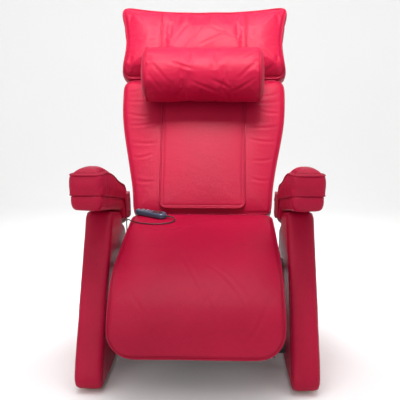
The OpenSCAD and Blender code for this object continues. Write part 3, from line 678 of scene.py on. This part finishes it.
def undulated(obj, height, scale, seed):
    """Slow swells and hollows of hand-pulled leather."""
    co = coordinates(obj)
    shift = Vector((seed, 2 * seed, 3 * seed))
    wave = np.array([
        noise.noise(Vector(p) * scale + shift) + 0.4 * noise.noise(Vector(p) * scale * 2.7 - shift) for p in co
    ])
    set_coordinates(obj, co + outward_normals(obj) * (height * wave)[:, None])


def painted(obj, values):
    attribute = obj.data.attributes.get("seam") or obj.data.attributes.new("seam", "FLOAT", "POINT")
    attribute.data.foreach_set("value", np.asarray(values, np.float32))


def tube(name, points, radius, closed=True, sides=10):
    """A round cord along points, with a frame carried along it."""
    points = np.asarray(points, float)
    n = len(points)
    if closed:
        t = np.roll(points, -1, axis=0) - np.roll(points, 1, axis=0)
    else:
        t = np.gradient(points, axis=0)
    t /= np.linalg.norm(t, axis=1)[:, None]
    u = np.cross(t[0], (0.3, 0.5, 0.8))
    u /= np.linalg.norm(u)
    frames = []
    for k in range(n):
        u = u - t[k] * (u @ t[k])
        u /= np.linalg.norm(u)
        frames.append((u.copy(), np.cross(t[k], u)))
    twist = 0.0
    if closed:
        back = frames[-1][0] - t[0] * (frames[-1][0] @ t[0])
        twist = math.atan2(back @ frames[0][1], back @ frames[0][0])
    loops = []
    for k, (a, b) in enumerate(frames):
        turn = -twist * k / n
        loops.append([points[k] + radius * (math.cos(turn + q) * a + math.sin(turn + q) * b)
                      for q in (2 * math.pi * i / sides for i in range(sides))])
    return bridged(name, loops, ring=closed)


def settled(obj, points, lift):
    """Moves points to the nearest place on a piece, and lifts them off it."""
    bm = bmesh.new()
    bm.from_mesh(obj.data)
    tree = BVHTree.FromBMesh(bm)
    bm.free()
    out = []
    for p in points:
        found, normal, _, _ = tree.find_nearest(Vector(p))
        out.append(found + normal * lift)
    return out


def smoothed(points, times=2, closed=True):
    p = np.asarray(points, float)
    for _ in range(times):
        if closed:
            p = (np.roll(p, 1, axis=0) + 2 * p + np.roll(p, -1, axis=0)) / 4
        else:
            q = p.copy()
            q[1:-1] = (p[:-2] + 2 * p[1:-1] + p[2:]) / 4
            p = q
    return p


def dressed(obj, material, body, nodes=()):
    """Gives a piece its material in a slot and its body, and hides the CAD nodes it stands for."""
    obj.data.materials.clear()
    obj.data.materials.append(finish_of(material))
    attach(obj, body)
    if nodes:
        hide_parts(*nodes)
    return obj


def piping(name, body, points, radius=None, closed=True, on=None, lift=0.0):
    radius = radius or bpy.context.scene.chair_upholstery.piping
    if on is not None:
        points = smoothed(settled(on, points, lift), 3, closed)
    return dressed(tube(name, points, radius, closed), "piping_red", body)


def mirrored(obj, name):
    """A copy of a right-hand piece for the left."""
    copy = bpy.data.objects.new(name, obj.data.copy())
    bpy.context.scene.collection.objects.link(copy)
    co = coordinates(copy)
    co[:, 0] *= -1
    set_coordinates(copy, co)
    copy.data.flip_normals()
    return copy


class Near:
    """Distance from a point to a line of points."""

    def __init__(self, points):
        self.tree = KDTree(len(points))
        for i, p in enumerate(points):
            self.tree.insert(Vector(p), i)
        self.tree.balance()

    def __call__(self, p):
        return self.tree.find(p)[2]


# ---- pieces


class CHAIR_OT_stage(bpy.types.Operator):
    """Camera, pale floor and soft studio light"""

    bl_idname = "chair.stage"
    bl_label = "Stage"

    def execute(self, context):
        scene = context.scene
        settings = scene.chair_stage
        data = bpy.data.cameras.new("camera")
        camera = bpy.data.objects.new("camera", data)
        scene.collection.objects.link(camera)
        camera.location = side(0.074, -2.1, 0.85)
        yaw, pitch = math.radians(1.76), math.radians(7.66)
        look = Vector((-math.sin(yaw) * math.cos(pitch), math.cos(yaw) * math.cos(pitch), -math.sin(pitch)))
        camera.rotation_euler = look.to_track_quat("-Z", "Y").to_euler()
        data.lens = settings.lens
        data.clip_end = 60
        scene.camera = camera
        world = bpy.data.worlds.new("studio")
        scene.world = world
        world.use_nodes = True
        world.node_tree.nodes["Background"].inputs[0].default_value = (1, 1, 1, 1)
        world.node_tree.nodes["Background"].inputs[1].default_value = 0.80
        self.light(scene, "overhead", (0.0, -0.4, 3.1), (0, 0.2, 0.4), 2.4, settings.overhead)
        key = self.light(scene, "key", (0.0, -0.95, 2.75), (0, 0.42, 1.14), 1.1, settings.key)
        key.spread = math.radians(50)
        self.light(scene, "front", (-1.1, -3.2, 1.9), (0, 0, 0.6), 2.2, settings.front)
        floor = self.floor(scene)
        scene.view_settings.view_transform = "Standard"
        return {"FINISHED"}

    def light(self, scene, name, at, target, size, power):
        data = bpy.data.lights.new(name, "AREA")
        data.shape = "DISK"
        data.size = size
        data.energy = power
        made = bpy.data.objects.new(name, data)
        scene.collection.objects.link(made)
        made.location = at
        made.rotation_euler = (Vector(target) - Vector(at)).to_track_quat("-Z", "Y").to_euler()
        return data

    def floor(self, scene):
        """A sweep: the floor curves up into the backdrop."""
        radius, back = 1.2, 4.5
        profile = [(-9.0, 0.0), (back - radius, 0.0)]
        profile += [(back - radius + radius * math.sin(a), radius - radius * math.cos(a))
                    for a in (math.pi / 2 * i / 16 for i in range(1, 17))]
        profile.append((back, 7.0))
        vertices = [(x, y, z) for x in (-9.0, 9.0) for y, z in profile]
        n = len(profile)
        floor = new_object("floor", vertices, [(i, i + 1, n + i + 1, n + i) for i in range(n - 1)])
        s = Shader("studio_floor")
        haze = s.noise(0.8, 2)
        s.set(Base_Color=s.mix(haze, (0.93, 0.93, 0.93), (0.97, 0.97, 0.97)), Roughness=0.8)
        floor.data.materials.append(s.material)
        return floor


class CHAIR_OT_cord(bpy.types.Operator):
    """The handset's cord, from its strain relief round to the gland beside the seat"""

    bl_idname = "chair.cord"
    bl_label = "Handset cord"

    route = (
        (-0.098, -0.075, 0.008), (-0.092, -0.088, 0.004), (-0.100, -0.106, 0.0022), (-0.120, -0.120, 0.0022),
        (-0.150, -0.126, 0.0022), (-0.182, -0.124, 0.0022), (-0.214, -0.114, 0.0022), (-0.236, -0.102, 0.003),
        (-0.247, -0.093, 0.0048), (-0.254, -0.087, 0.0034), (-0.258, -0.084, -0.005), (-0.258, -0.085, -0.028),
        (-0.258, -0.091, -0.048), (-0.258, -0.098, -0.062),
    )

    def execute(self, context):
        c, s = math.cos(HANDSET_TURN), math.sin(HANDSET_TURN)
        start = (HANDSET[0] + 0.074 * c, HANDSET[1] + 0.074 * s, 0.0098)
        before = (start[0] - 0.012 * c, start[1] - 0.012 * s, start[2])
        points = [before, start, *self.route, (-0.258, -0.100, -0.074), (-0.258, -0.100, -0.086)]
        p = np.array(points)
        line = []
        for i in range(1, len(p) - 2):
            a, b, c, d = p[i - 1:i + 3]
            for k in range(6):
                t = k / 6
                square, cube = 2 * a - 5 * b + 4 * c - d, 3 * b - a - 3 * c + d
                line.append(0.5 * (2 * b + (c - a) * t + square * t**2 + cube * t**3))
        line.append(p[-2])
        world = [on_thigh(*q) for q in line]
        made = tube("handset_cord_flex", world, 0.0019, closed=False, sides=12)
        dressed(made, "cord_black", "seat", ["handset_cord"])
        return {"FINISHED"}


class CHAIR_OT_seat(bpy.types.Operator):
    """One-piece seat and calf cushion with its piped edge"""

    bl_idname = "chair.seat"
    bl_label = "Seat cushion"

    # creases that sitting has left: x and length along the seat of both ends, and the bow
    folds = (
        (-0.05, 0.42, 0.07, 0.70, 0.02), (0.02, 0.47, 0.15, 0.66, -0.02), (-0.19, 0.60, -0.10, 0.78, -0.02),
        (-0.21, 0.30, -0.12, 0.33, 0.01), (0.20, 0.28, 0.11, 0.33, 0.01), (0.20, 0.64, 0.12, 0.76, 0.02),
        (-0.16, 0.10, 0.02, 0.13, 0.015), (0.03, 0.09, 0.19, 0.12, 0.01),
    )

    def execute(self, context):
        up = context.scene.chair_upholstery
        wide, rear = SEAT_SIDE - 0.001, SEAT_SIDE - 0.004

        def place(x, s, h):
            return side(x, *seat_at(s, 0.062 - h))

        near = 0.306
        right = [(rear, -0.005, 0.03), (wide, near, 0.25), (wide, SEAT_LENGTH, 0.075)]
        outline = rounded([*right, *[(-x, along, r) for x, along, r in reversed(right)]])
        rings = [(0.016, 0.004), (0.006, 0.006), (0.002, 0.014), (0.0, 0.028), (0.002, 0.044), (0.004, 0.052),
                 (0.010, 0.057), (0.022, 0.060)]
        spine = ((0, 0.20), (0, SEAT_LENGTH - 0.20))
        cushion = pad("seat_pad", outline, spine, rings, up.seat_crown, place)
        edge = [place(x, s, 0.052) for x, s in outline + inward(outline) * 0.003]
        reach = Near(edge)
        puffed(cushion, 0.007, lambda p: 1 - min(1, reach(p) / 0.03), 0.0065)
        undulated(cushion, 0.0016, 5.0, 1.0)
        folds = [[place(x0 + (x1 - x0) * t, s0 + (s1 - s0) * t + bow * math.sin(math.pi * t), 0.072)
                  for t in (k / 24 for k in range(25))] for x0, s0, x1, s1, bow in self.folds]
        creased(cushion, folds, 0.0008, 0.012)
        self.dented(cushion)
        line = [place(x, s, 0.054) for x, s in outline + inward(outline) * 0.011]
        grooved(cushion, [line + line[:1]], 0.0015, 0.004)
        dressed(cushion, "leather_red", "seat", ["seat_cushion"])
        piping("seat_piping", "seat", edge, on=cushion, lift=0.0012)
        return {"FINISHED"}

    def dented(self, obj):
        """The cover lies flat under the handset and its cord."""
        co = coordinates(obj)
        origin = np.array(on_thigh(0, 0, 0))
        along = (co - origin) @ (np.array(on_thigh(0, 1, 0)) - origin)
        above = (co - origin) @ (np.array(on_thigh(0, 0, 1)) - origin)
        out = np.maximum(np.abs(co[:, 0] + 0.170) - 0.092, 0) + np.maximum(np.abs(along + 0.075) - 0.070, 0)
        weight = np.clip(1 - out / 0.06, 0, 1) ** 2 * (3 - 2 * np.clip(1 - out / 0.06, 0, 1))
        sink = weight * np.maximum(above + 0.0004, 0)
        up = np.array(on_thigh(0, 0, 1)) - origin
        set_coordinates(obj, co - sink[:, None] * up)


def back_half_width(v):
    return WAIST + (SHOULDER - WAIST) * ease(v / 0.42)


def back_outline(inset=0.0, low=0.0):
    top = 0.515
    right = [(back_half_width(v) - inset, v, 0) for v in (low + (top - 0.06 - low) * k / 16 for k in range(1, 17))]
    left = [(-x, v, r) for x, v, r in reversed(right)]
    x, w = back_half_width(low) - inset, SHOULDER - inset
    return rounded([(x, low, 0.022), *right, (w, top, 0.055), (-w, top, 0.055), *left, (-x, low, 0.022)])


class CHAIR_OT_back(bpy.types.Operator):
    """Back cushion round the roller window, with its piped edge"""

    bl_idname = "chair.back"
    bl_label = "Back cushion"

    # folds across each wing: height along the back, fall towards the middle, inner end
    folds = ((0.462, 0.020, 0.20), (0.425, 0.006, 0.17), (0.378, -0.012, 0.19), (0.330, 0.010, 0.16),
             (0.268, -0.008, 0.165), (0.205, 0.012, 0.18), (0.120, -0.006, 0.17))

    def execute(self, context):
        up = context.scene.chair_upholstery

        def place(x, v, h):
            return in_back(x, 0.062 - h, v)

        outline = back_outline(low=-0.010)
        centre = np.array((0, 0.265))
        rays = outline - centre
        window = centre + rays / np.maximum(np.abs(rays[:, 0]) / 0.095, np.abs(rays[:, 1]) / 0.205)[:, None]
        rings = [(0.012, -0.0110), (0.004, -0.0095), (0.001, 0.002), (0.0, 0.022), (0.001, 0.044), (0.003, 0.053),
                 (0.009, 0.058), (0.020, 0.061)]
        cushion = pad("back_pad", outline, ((0, 0.2), (0, 0.4)), rings, up.back_crown * 0.7, place, window)
        edge = [place(x, v, 0.053) for x, v in outline + inward(outline) * 0.002]
        reach = Near(edge)
        front = in_back(0, 0.03, 0.2)
        deep = (in_back(0, 1, 0) - in_back(0, 0, 0)).normalized()

        def held(p):
            if (p - front).dot(deep) > 0.0 or abs(p.x) < 0.12:
                return 1
            return 1 - min(1, reach(p) / 0.03)

        puffed(cushion, 0.006, held, 0.006)
        undulated(cushion, 0.0016, 6.0, 2.0)
        folds = []
        for hand in (-1, 1):
            for v, fall, inner in self.folds:
                out = back_half_width(v) - 0.014
                folds.append([
                    place(hand * (out + (inner - out) * t), v - hand * fall * t - 0.008 * math.sin(3 * t), 0.06)
                    for t in (k / 20 for k in range(21))
                ])
        creased(cushion, folds, 0.0009, 0.010)
        line = [place(x, v, 0.056) for x, v in outline + inward(outline) * 0.011]
        grooved(cushion, [line + line[:1]], 0.0015, 0.004)
        dressed(cushion, "leather_red", "back", ["back_cushion"])
        piping("back_piping", "back", edge, on=cushion, lift=0.0012)
        return {"FINISHED"}


class CHAIR_OT_head(bpy.types.Operator):
    """Head cushion with two upright seams and flared corners"""

    bl_idname = "chair.head"
    bl_label = "Head cushion"

    # slack folds in the middle panel and from the corners: x and height of both ends
    folds = (
        (-0.13, 0.10, -0.04, 0.235), (-0.08, 0.08, 0.00, 0.20), (-0.02, 0.11, 0.10, 0.17), (0.02, 0.19, 0.14, 0.13),
        (0.28, 0.27, 0.21, 0.19), (-0.28, 0.27, -0.22, 0.20), (0.27, 0.05, 0.21, 0.11), (-0.27, 0.05, -0.21, 0.11),
    )

    def execute(self, context):
        up = context.scene.chair_upholstery
        w, low, tall, deep = HEAD_SIDE - 0.005, 0.5153, 0.30, 0.085

        def place(x, v, h):
            lower = 0.036 * (1 - ease((v - low) / 0.055)) * ease(h / deep)
            upper = 0.024 * (1 - ease((low + tall - v) / 0.060)) * ease(h / deep)
            return in_back(x, 0.045 - h + lower + upper, v)

        right = [
            (w, low, 0.028), (w - 0.016, low + 0.07, 0.2), (w - 0.023, low + 0.13, 0.3),
            (w - 0.010, low + 0.22, 0.2), (w + 0.010, low + tall + 0.003, 0.020),
            (0.66 * w, low + tall - 0.022, 0.2), (0.34 * w, low + tall - 0.034, 0.3),
        ]
        outline = rounded([*right, *[(-x, v, r) for x, v, r in reversed(right)]])
        rings = [(0.010, -0.0125), (0.003, -0.0115), (0.000, -0.002), (-0.001, 0.5 * deep), (0.001, deep - 0.016),
                 (0.004, deep - 0.008), (0.012, deep - 0.002), (0.026, deep)]
        cushion = pad("head_pad", outline, ((-0.15, low + 0.145), (0.15, low + 0.145)), rings, up.head_crown, place)
        edge = [place(x, v, deep - 0.008) for x, v in outline + inward(outline) * 0.002]
        reach = Near(edge)
        rearward = (in_back(0, 1, 0) - in_back(0, 0, 0)).normalized()
        origin = in_back(0, -0.01, 0.6)
        seams = [[place(side_x, v, deep + 0.012) for v in (low + 0.02 + (tall - 0.05) * k / 30 for k in range(31))]
                 for side_x in (-0.160, 0.160)]
        pulls = Near([p for seam in seams for p in seam])

        def held(p):
            if (p - origin).dot(rearward) > 0.03:
                return 1
            return max(1 - min(1, reach(p) / 0.024), 0.9 * (1 - min(1, pulls(p) / 0.03)))

        puffed(cushion, 0.008, held, 0.006, slack=0.015)
        near = [settled(cushion, seam, 0) for seam in seams]
        line = [place(x, v, deep - 0.005) for x, v in outline + inward(outline) * 0.010]
        undulated(cushion, 0.0022, 7.0, 3.0)
        grooved(cushion, [*near, line + line[:1]], 0.0024, 0.0045)
        self.pucker(cushion, low + tall - 0.03)
        steps = [k / 20 for k in range(21)]
        folds = [
            [place(x0 + (x1 - x0) * t, low + v0 + (v1 - v0) * t, deep + 0.012) for t in steps]
            for x0, v0, x1, v1 in self.folds
        ]
        creased(cushion, folds, 0.0010, 0.010)
        dressed(cushion, "leather_red", "back", ["head_cushion"])
        piping("head_piping", "back", edge, on=cushion, lift=0.0010)
        return {"FINISHED"}

    def pucker(self, obj, top):
        """Gathers the cover in short folds under its top seam."""
        co = coordinates(obj)
        c, s = math.cos(BACK_LEAN), math.sin(BACK_LEAN)
        rel = co - np.array(side(0, 0.560, 0.450))
        along = rel[:, 1] * s + rel[:, 2] * c
        down = np.clip((top - 0.004 - along) / 0.070, 0, 1)
        fade = np.sin(np.pi * down) ** 0.7 * np.clip((0.175 - np.abs(co[:, 0])) / 0.02, 0, 1)
        fold = np.array([
            noise.noise(Vector((x * 30 + 0.25 * y, a * 6, 0.3))) for x, y, a in zip(co[:, 0], co[:, 1], along)
        ])
        set_coordinates(obj, co + outward_normals(obj) * (0.0075 * fade * fold)[:, None])


class CHAIR_OT_bolster(bpy.types.Operator):
    """Round neck bolster with piped end caps"""

    bl_idname = "chair.bolster"
    bl_label = "Neck bolster"

    # slack folds: distance along the bolster and angle above its front line, for both ends
    folds = (
        (-0.19, 35, -0.11, -20), (-0.19, 5, -0.13, -45), (-0.05, -10, 0.06, -40), (0.02, -5, 0.10, -30),
        (0.19, 30, 0.12, -10), (0.19, -5, 0.10, -42), (-0.12, 30, -0.02, 10), (0.19, 60, 0.13, 35),
    )

    def execute(self, context):
        low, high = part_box("neck_bolster")
        middle = (low + high) / 2
        radius = (high.z - low.z) / 2
        half = (high.x - low.x) / 2
        profile = [
            (0.0, half + 0.006), (0.45, half + 0.005), (0.75, half + 0.002), (0.90, half - 0.003),
            (0.965, half - 0.010),
        ]
        body = [(0.985 - 0.004 * k, half - 0.018 - (half - 0.018) * k / 5) for k in range(6)]
        stations = [*profile[1:], *body]
        stations += [(r, -x) for r, x in reversed(stations[:-1])]
        loops = [[middle + Vector((x, radius * r * math.cos(a) * 0.985, radius * r * math.sin(a) * 1.04 + 0.004))
                  for a in (2 * math.pi * i / 48 for i in range(48))] for r, x in stations]
        bolster = bridged("bolster", loops)
        seam_x = half - 0.011

        def held(p):
            return 1 - min(1, abs(abs(p.x) - seam_x) / 0.02)

        puffed(bolster, 0.005, held, 0.0055, slack=0.012)
        caps = []
        for end in (-1, 1):
            ring = [middle + Vector((end * seam_x, radius * 0.97 * math.cos(a), radius * 1.02 * math.sin(a) + 0.004))
                    for a in (2 * math.pi * i / 90 for i in range(90))]
            caps.append(ring)
        grooved(bolster, [ring + ring[:1] for ring in caps], 0.0014, 0.004)
        undulated(bolster, 0.0024, 8.0, 4.0)
        self.gather(bolster, middle, seam_x)
        folds = []
        for x0, a0, x1, a1 in self.folds:
            turns = [(x0 + (x1 - x0) * t, math.radians(a0 + (a1 - a0) * t)) for t in (k / 20 for k in range(21))]
            folds.append([middle + Vector((x, -radius * math.cos(a), radius * math.sin(a))) for x, a in turns])
        creased(bolster, folds, 0.0012, 0.011)
        dressed(bolster, "leather_red", "bolster", ["neck_bolster"])
        for name, ring in zip(("bolster_piping_left", "bolster_piping_right"), caps):
            piping(name, "bolster", ring, 0.0026, on=bolster, lift=0.0008)
        return {"FINISHED"}

    def gather(self, obj, middle, seam_x):
        """Short folds that run from each end seam into the body."""
        co = coordinates(obj)
        rel = co - np.array(middle)
        angle = np.arctan2(rel[:, 2], rel[:, 1])
        far = seam_x - np.abs(rel[:, 0])
        fade = np.where(far > 0, np.exp(-far / 0.028) * np.clip(far / 0.006, 0, 1), 0)
        wave = np.array([noise.noise(Vector((math.cos(a) * 4.5, math.sin(a) * 4.5, 2.0 if x > 0 else 5.0)))
                         for a, x in zip(angle, rel[:, 0])])
        outward = rel.copy()
        outward[:, 0] = 0
        outward /= np.maximum(np.linalg.norm(outward, axis=1), 1e-6)[:, None]
        set_coordinates(obj, co + outward * (0.0070 * fade * wave)[:, None])


class CHAIR_OT_flap(bpy.types.Operator):
    """Padded flap over the roller window"""

    bl_idname = "chair.flap"
    bl_label = "Roller flap"

    def execute(self, context):
        def place(x, v, h):
            return in_back(x, -0.0035 - h, v)

        w = 0.152
        outline = rounded([(w, 0.010, 0.018), (w, 0.50, 0.01), (-w, 0.50, 0.01), (-w, 0.010, 0.018)], 0.010)
        rings = [(0.006, 0.0), (0.001, 0.002), (0.0, 0.005), (0.002, 0.0085), (0.006, 0.0095), (0.012, 0.010)]
        cover = pad("flap_cover", outline, ((0, 0.12), (0, 0.39)), rings, 0.005, place)
        applied(cover, "REMESH", mode="VOXEL", voxel_size=0.003)
        applied(cover, "SMOOTH", factor=0.6, iterations=6)
        line = [place(x, v, 0.0105) for x, v in outline + inward(outline) * 0.011]
        grooved(cover, [line + line[:1]], 0.0016, 0.003)
        edge = [place(x, v, 0.008) for x, v in outline + inward(outline) * 0.001]
        cord = tube("flap_piping", smoothed(edge, 2), 0.0034)
        for made, material in ((cover, "leather_red"), (cord, "piping_red")):
            made.data.materials.append(finish_of(material))
            in_back(0, -0.01, 0.392)
            in_back(0, -0.01, 0.360)
            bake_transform(made)
        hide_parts("massage_flap", "flap_top")
        return {"FINISHED"}


class CHAIR_OT_arms(bpy.types.Operator):
    """Arm pads and the lower arm covers, with their piping"""

    bl_idname = "chair.arms"
    bl_label = "Arms"

    def execute(self, context):
        up = context.scene.chair_upholstery
        self.arm("upper", "arm_pad", ARM, 0.060, 0.0, up.arm_crown)
        self.arm("lower", "arm_base", (ARM[0] + 0.003, ARM[1] - 0.004), 0.100, 0.060, 0.0)
        return {"FINISHED"}

    def arm(self, name, node, span, deep, shallow, crown):
        tall = deep - shallow

        def place(x, s, h):
            return side(x, *arm_at(s, deep - h))

        x0, x1 = span
        length = ARM_LENGTH - 0.003
        outline = rounded([(x0, 0, 0.012), (x1, 0, 0.012), (x1, length, 0.03), (x0, length, 0.03)], 0.010)
        if crown:
            rings = [(0.004, -0.002), (0.0, 0.001), (-0.001, 0.006), (-0.002, 0.5 * tall), (-0.001, tall - 0.006),
                     (0.003, tall - 0.001), (0.009, tall + 0.003)]
        else:
            rings = [
                (0.020, 0.0), (0.008, 0.002), (0.002, 0.008), (-0.001, 0.018), (-0.002, 0.7 * tall),
                (-0.001, tall), (0.004, tall + 0.002),
            ]
        middle = (x0 + x1) / 2
        cover = pad(name + "_arm_right", outline, ((middle, 0.045), (middle, length - 0.045)), rings, crown, place)
        top = [place(x, s, tall - 0.002) for x, s in outline + inward(outline) * 0.001]
        foot = [place(x, s, 0.004) for x, s in outline]
        reach = Near(top + foot)
        if crown:
            puffed(cover, 0.005, lambda p: 1 - min(1, reach(p) / 0.016), 0.005, slack=0.01)
        else:
            applied(cover, "REMESH", mode="VOXEL", voxel_size=0.004)
            applied(cover, "SMOOTH", factor=0.6, iterations=6)
        undulated(cover, 0.0018, 9.0, 5.0)
        seam = [place(x, s, tall + 0.004) for x, s in outline + inward(outline) * 0.010] if crown else foot
        grooved(cover, [seam + seam[:1]], 0.0012, 0.0035)
        other = mirrored(cover, name + "_arm_left")
        dressed(cover, "leather_red", "base", [node + "_right"])
        dressed(other, "leather_red", "base", [node + "_left"])
        lines = {"top": top, "foot": foot} if crown else {"rim": [place(x, s, tall - 0.003) for x, s in outline]}
        for kind, line in lines.items():
            right = tube("%s_arm_%s_piping_right" % (name, kind), smoothed(line, 2), 0.0026)
            left = mirrored(right, "%s_arm_%s_piping_left" % (name, kind))
            for cord in (right, left):
                dressed(cord, "piping_red", "base")


class CHAIR_OT_sides(bpy.types.Operator):
    """Upholstered side panels that spread from the arms to the floor"""

    bl_idname = "chair.sides"
    bl_label = "Side panels"

    def execute(self, context):
        x0, thick = PANEL[0], PANEL[1] - PANEL[0]

        def place(y, z, h):
            return side(x0 + h, y, z)

        end = math.radians(-18)
        rear = (ARM_BEND[0] + 0.125 * math.cos(end), ARM_BEND[1] + 0.125 * math.sin(end) - 0.001)
        turns = [math.radians(80 - 98 * k / 5) for k in range(5, -1, -1)]
        under = [(ARM_BEND[0] + 0.029 * math.cos(a), ARM_BEND[1] + 0.029 * math.sin(a), 0) for a in turns]
        feet = [(-0.046, 0.008, 0.034), (0.700, 0.008, 0.034)]
        outline = rounded([*feet, (*rear, 0.03), *under, (0.232, 0.5015, 0.02)])
        rings = [(0.020, 0.0), (0.008, 0.002), (0.002, 0.008), (0.0, 0.018), (0.0, thick / 2), (0.0, thick - 0.018),
                 (0.002, thick - 0.008), (0.008, thick - 0.002), (0.020, thick)]
        panel = pad("side_cover_right", outline, ((0.25, 0.20), (0.44, 0.24)), rings, 0.005, place)
        edges = [[place(y, z, h) for y, z in outline + inward(outline) * 0.012] for h in (0.0, thick)]
        applied(panel, "REMESH", mode="VOXEL", voxel_size=0.006)
        applied(panel, "SMOOTH", factor=0.6, iterations=6)
        applied(panel, "SUBSURF", levels=1, render_levels=1)
        undulated(panel, 0.0022, 6.0, 6.0)
        near = [settled(panel, edge, 0) for edge in edges]
        grooved(panel, [line + line[:1] for line in near], 0.0014, 0.004)
        other = mirrored(panel, "side_cover_left")
        dressed(panel, "leather_red", "base", ["side_panel_right"])
        dressed(other, "leather_red", "base", ["side_panel_left"])
        return {"FINISHED"}


class CHAIR_OT_handset(bpy.types.Operator):
    """Rounded case of the handset, round its keys and display"""

    bl_idname = "chair.handset"
    bl_label = "Handset"

    def execute(self, context):
        c, s = math.cos(HANDSET_TURN), math.sin(HANDSET_TURN)

        def place(u, v, h):
            return on_thigh(HANDSET[0] + u * c - v * s, HANDSET[1] + u * s + v * c, 0.0003 + h)

        a = math.acos((0.020 - 0.011) / 0.089)
        points = [(0.040 + 0.020 * math.cos(t), 0.020 * math.sin(t)) for t in np.linspace(-a, a, 24)]
        points += [(-0.049 + 0.011 * math.cos(t), 0.011 * math.sin(t)) for t in np.linspace(a, 2 * math.pi - a, 16)]
        outline = resampled(np.array(points), 0.003)
        rings = [(0.005, 0.0), (0.002, 0.0010), (0.0006, 0.0035), (0.0, 0.0080), (0.0006, 0.0086), (0.0006, 0.0092),
                 (0.0, 0.0098), (0.0004, 0.014), (0.0014, 0.0168), (0.0032, 0.0184), (0.0055, 0.0189)]
        case = pad("handset_case", outline, ((-0.045, 0), (0.035, 0)), rings, 0.0, place)
        applied(case, "SUBSURF", levels=1, render_levels=1)
        dressed(case, "plastic_slate", "seat", ["handset_lower_case", "handset_upper_case"])
        keys = {"power": (-0.048, 0), "up": (-0.031, -0.0055), "down": (-0.031, 0.0055),
                "knead": (-0.014, -0.0065), "heat": (-0.014, 0.0065)}
        for name, (u, v) in keys.items():
            ring = [place(u + 0.0047 * math.cos(t), v + 0.0047 * math.sin(t), 0.0189)
                    for t in (2 * math.pi * i / 28 for i in range(28))]
            dressed(tube("bezel_" + name, ring, 0.0006, sides=8), "plastic_slate", "seat")
        return {"FINISHED"}


class CHAIR_OT_shells(bpy.types.Operator):
    """Rounded rear covers of the backrest and the head cushion"""

    bl_idname = "chair.shells"
    bl_label = "Rear covers"

    def execute(self, context):
        outline = back_outline(0.012, -0.004)
        self.tray("back_cover", outline, 0.070, 0.165, ((0, 0.18), (0, 0.33)), "back_shell", True)
        low, w, tall = 0.5213, 0.208, 0.264
        outline = rounded([(w, low, 0.04), (w, low + tall, 0.04), (-w, low + tall, 0.04), (-w, low, 0.04)])
        self.tray("head_cover", outline, 0.053, 0.115, ((-0.07, low + 0.13), (0.07, low + 0.13)), "head_shell", False)
        return {"FINISHED"}

    def tray(self, name, outline, near, far, spine, node, open_foot):
        normal = inward(outline)
        start, end = (np.array(p, float) for p in spine)
        along = end - start
        deep = far - near
        loops = []
        rings = ((0.0, 0.0), (0.0, deep - 0.034), (0.003, deep - 0.018), (0.010, deep - 0.007),
                 (0.020, deep - 0.002), (0.032, deep))
        for d, h in rings:
            base = outline + normal * d
            for _ in range(round(900 * d)):  # unfolds the corners, which are tighter than the inset
                base = (np.roll(base, 1, 0) + 2 * base + np.roll(base, -1, 0)) / 4
            loops.append([in_back(x, near + h, v) for x, v in base])
        for t in (0.2, 0.4, 0.6, 0.8, 0.97):
            foot = start + np.clip((base - start) @ along / (along @ along), 0, 1)[:, None] * along
            loops.append([in_back(x, far, v) for x, v in base + (foot - base) * t])
        made = bridged(name, loops, cap_first=False)
        if open_foot:
            bm = bmesh.new()
            bm.from_mesh(made.data)
            rim = in_back(0, near, 0.004)
            up = (in_back(0, 0, 1) - in_back(0, 0, 0)).normalized()
            deep_way = (in_back(0, 1, 0) - in_back(0, 0, 0)).normalized()
            centres = [(face, face.calc_center_median()) for face in bm.faces]
            gone = [face for face, at in centres if (at - rim).dot(up) < 0
                    and (at - rim).dot(deep_way) < deep - 0.02 and abs(at.x) < 0.205]
            bmesh.ops.delete(bm, geom=gone, context="FACES")
            bm.to_mesh(made.data)
            bm.free()
        applied(made, "SOLIDIFY", thickness=0.005, offset=-1)
        dressed(made, "plastic_black", "back", [node])


class CHAIR_OT_finishes(bpy.types.Operator):
    """Procedural finishes on the carried-over frame and mechanism"""

    bl_idname = "chair.finishes"
    bl_label = "Frame finishes"

    def execute(self, context):
        for part in frame["record"]["subparts"]:
            node = frame["nodes"][part["node"]]
            if node.hide_render:
                continue
            node.data.materials.clear()
            slot = "plastic_red" if part["node"].startswith("back_guide") else part["material_slot"]
            node.data.materials.append(finish_of(slot))
        return {"FINISHED"}


class CHAIR_PT_panel(bpy.types.Panel):
    """Lists the chair's settings and pieces"""

    bl_label = "Massage recliner"
    bl_idname = "CHAIR_PT_panel"
    bl_space_type = "VIEW_3D"
    bl_region_type = "UI"
    bl_category = "Recliner"

    def draw(self, context):
        layout = self.layout
        for group in ("chair_upholstery", "chair_finishes", "chair_stage"):
            settings = getattr(context.scene, group)
            box = layout.box()
            for key in settings.__annotations__:
                box.prop(settings, key)
        for operator in OPERATORS:
            layout.operator(operator.bl_idname)


GROUPS = {"chair_upholstery": UpholsterySettings, "chair_finishes": FinishSettings, "chair_stage": StageSettings}
OPERATORS = (
    CHAIR_OT_stage, CHAIR_OT_cord, CHAIR_OT_seat, CHAIR_OT_back, CHAIR_OT_head, CHAIR_OT_bolster, CHAIR_OT_flap,
    CHAIR_OT_arms, CHAIR_OT_sides, CHAIR_OT_handset, CHAIR_OT_shells, CHAIR_OT_finishes,
)


def register():
    for kind in (*GROUPS.values(), *OPERATORS, CHAIR_PT_panel):
        bpy.utils.register_class(kind)
    for name, group in GROUPS.items():
        setattr(bpy.types.Scene, name, bpy.props.PointerProperty(type=group))


def unregister():
    for name in GROUPS:
        delattr(bpy.types.Scene, name)
    for kind in reversed((*GROUPS.values(), *OPERATORS, CHAIR_PT_panel)):
        bpy.utils.unregister_class(kind)


def main():
    register()
    for operator in OPERATORS:
        getattr(bpy.ops.chair, operator.bl_idname.split(".")[1])()


if __name__ == "__main__":
    main()
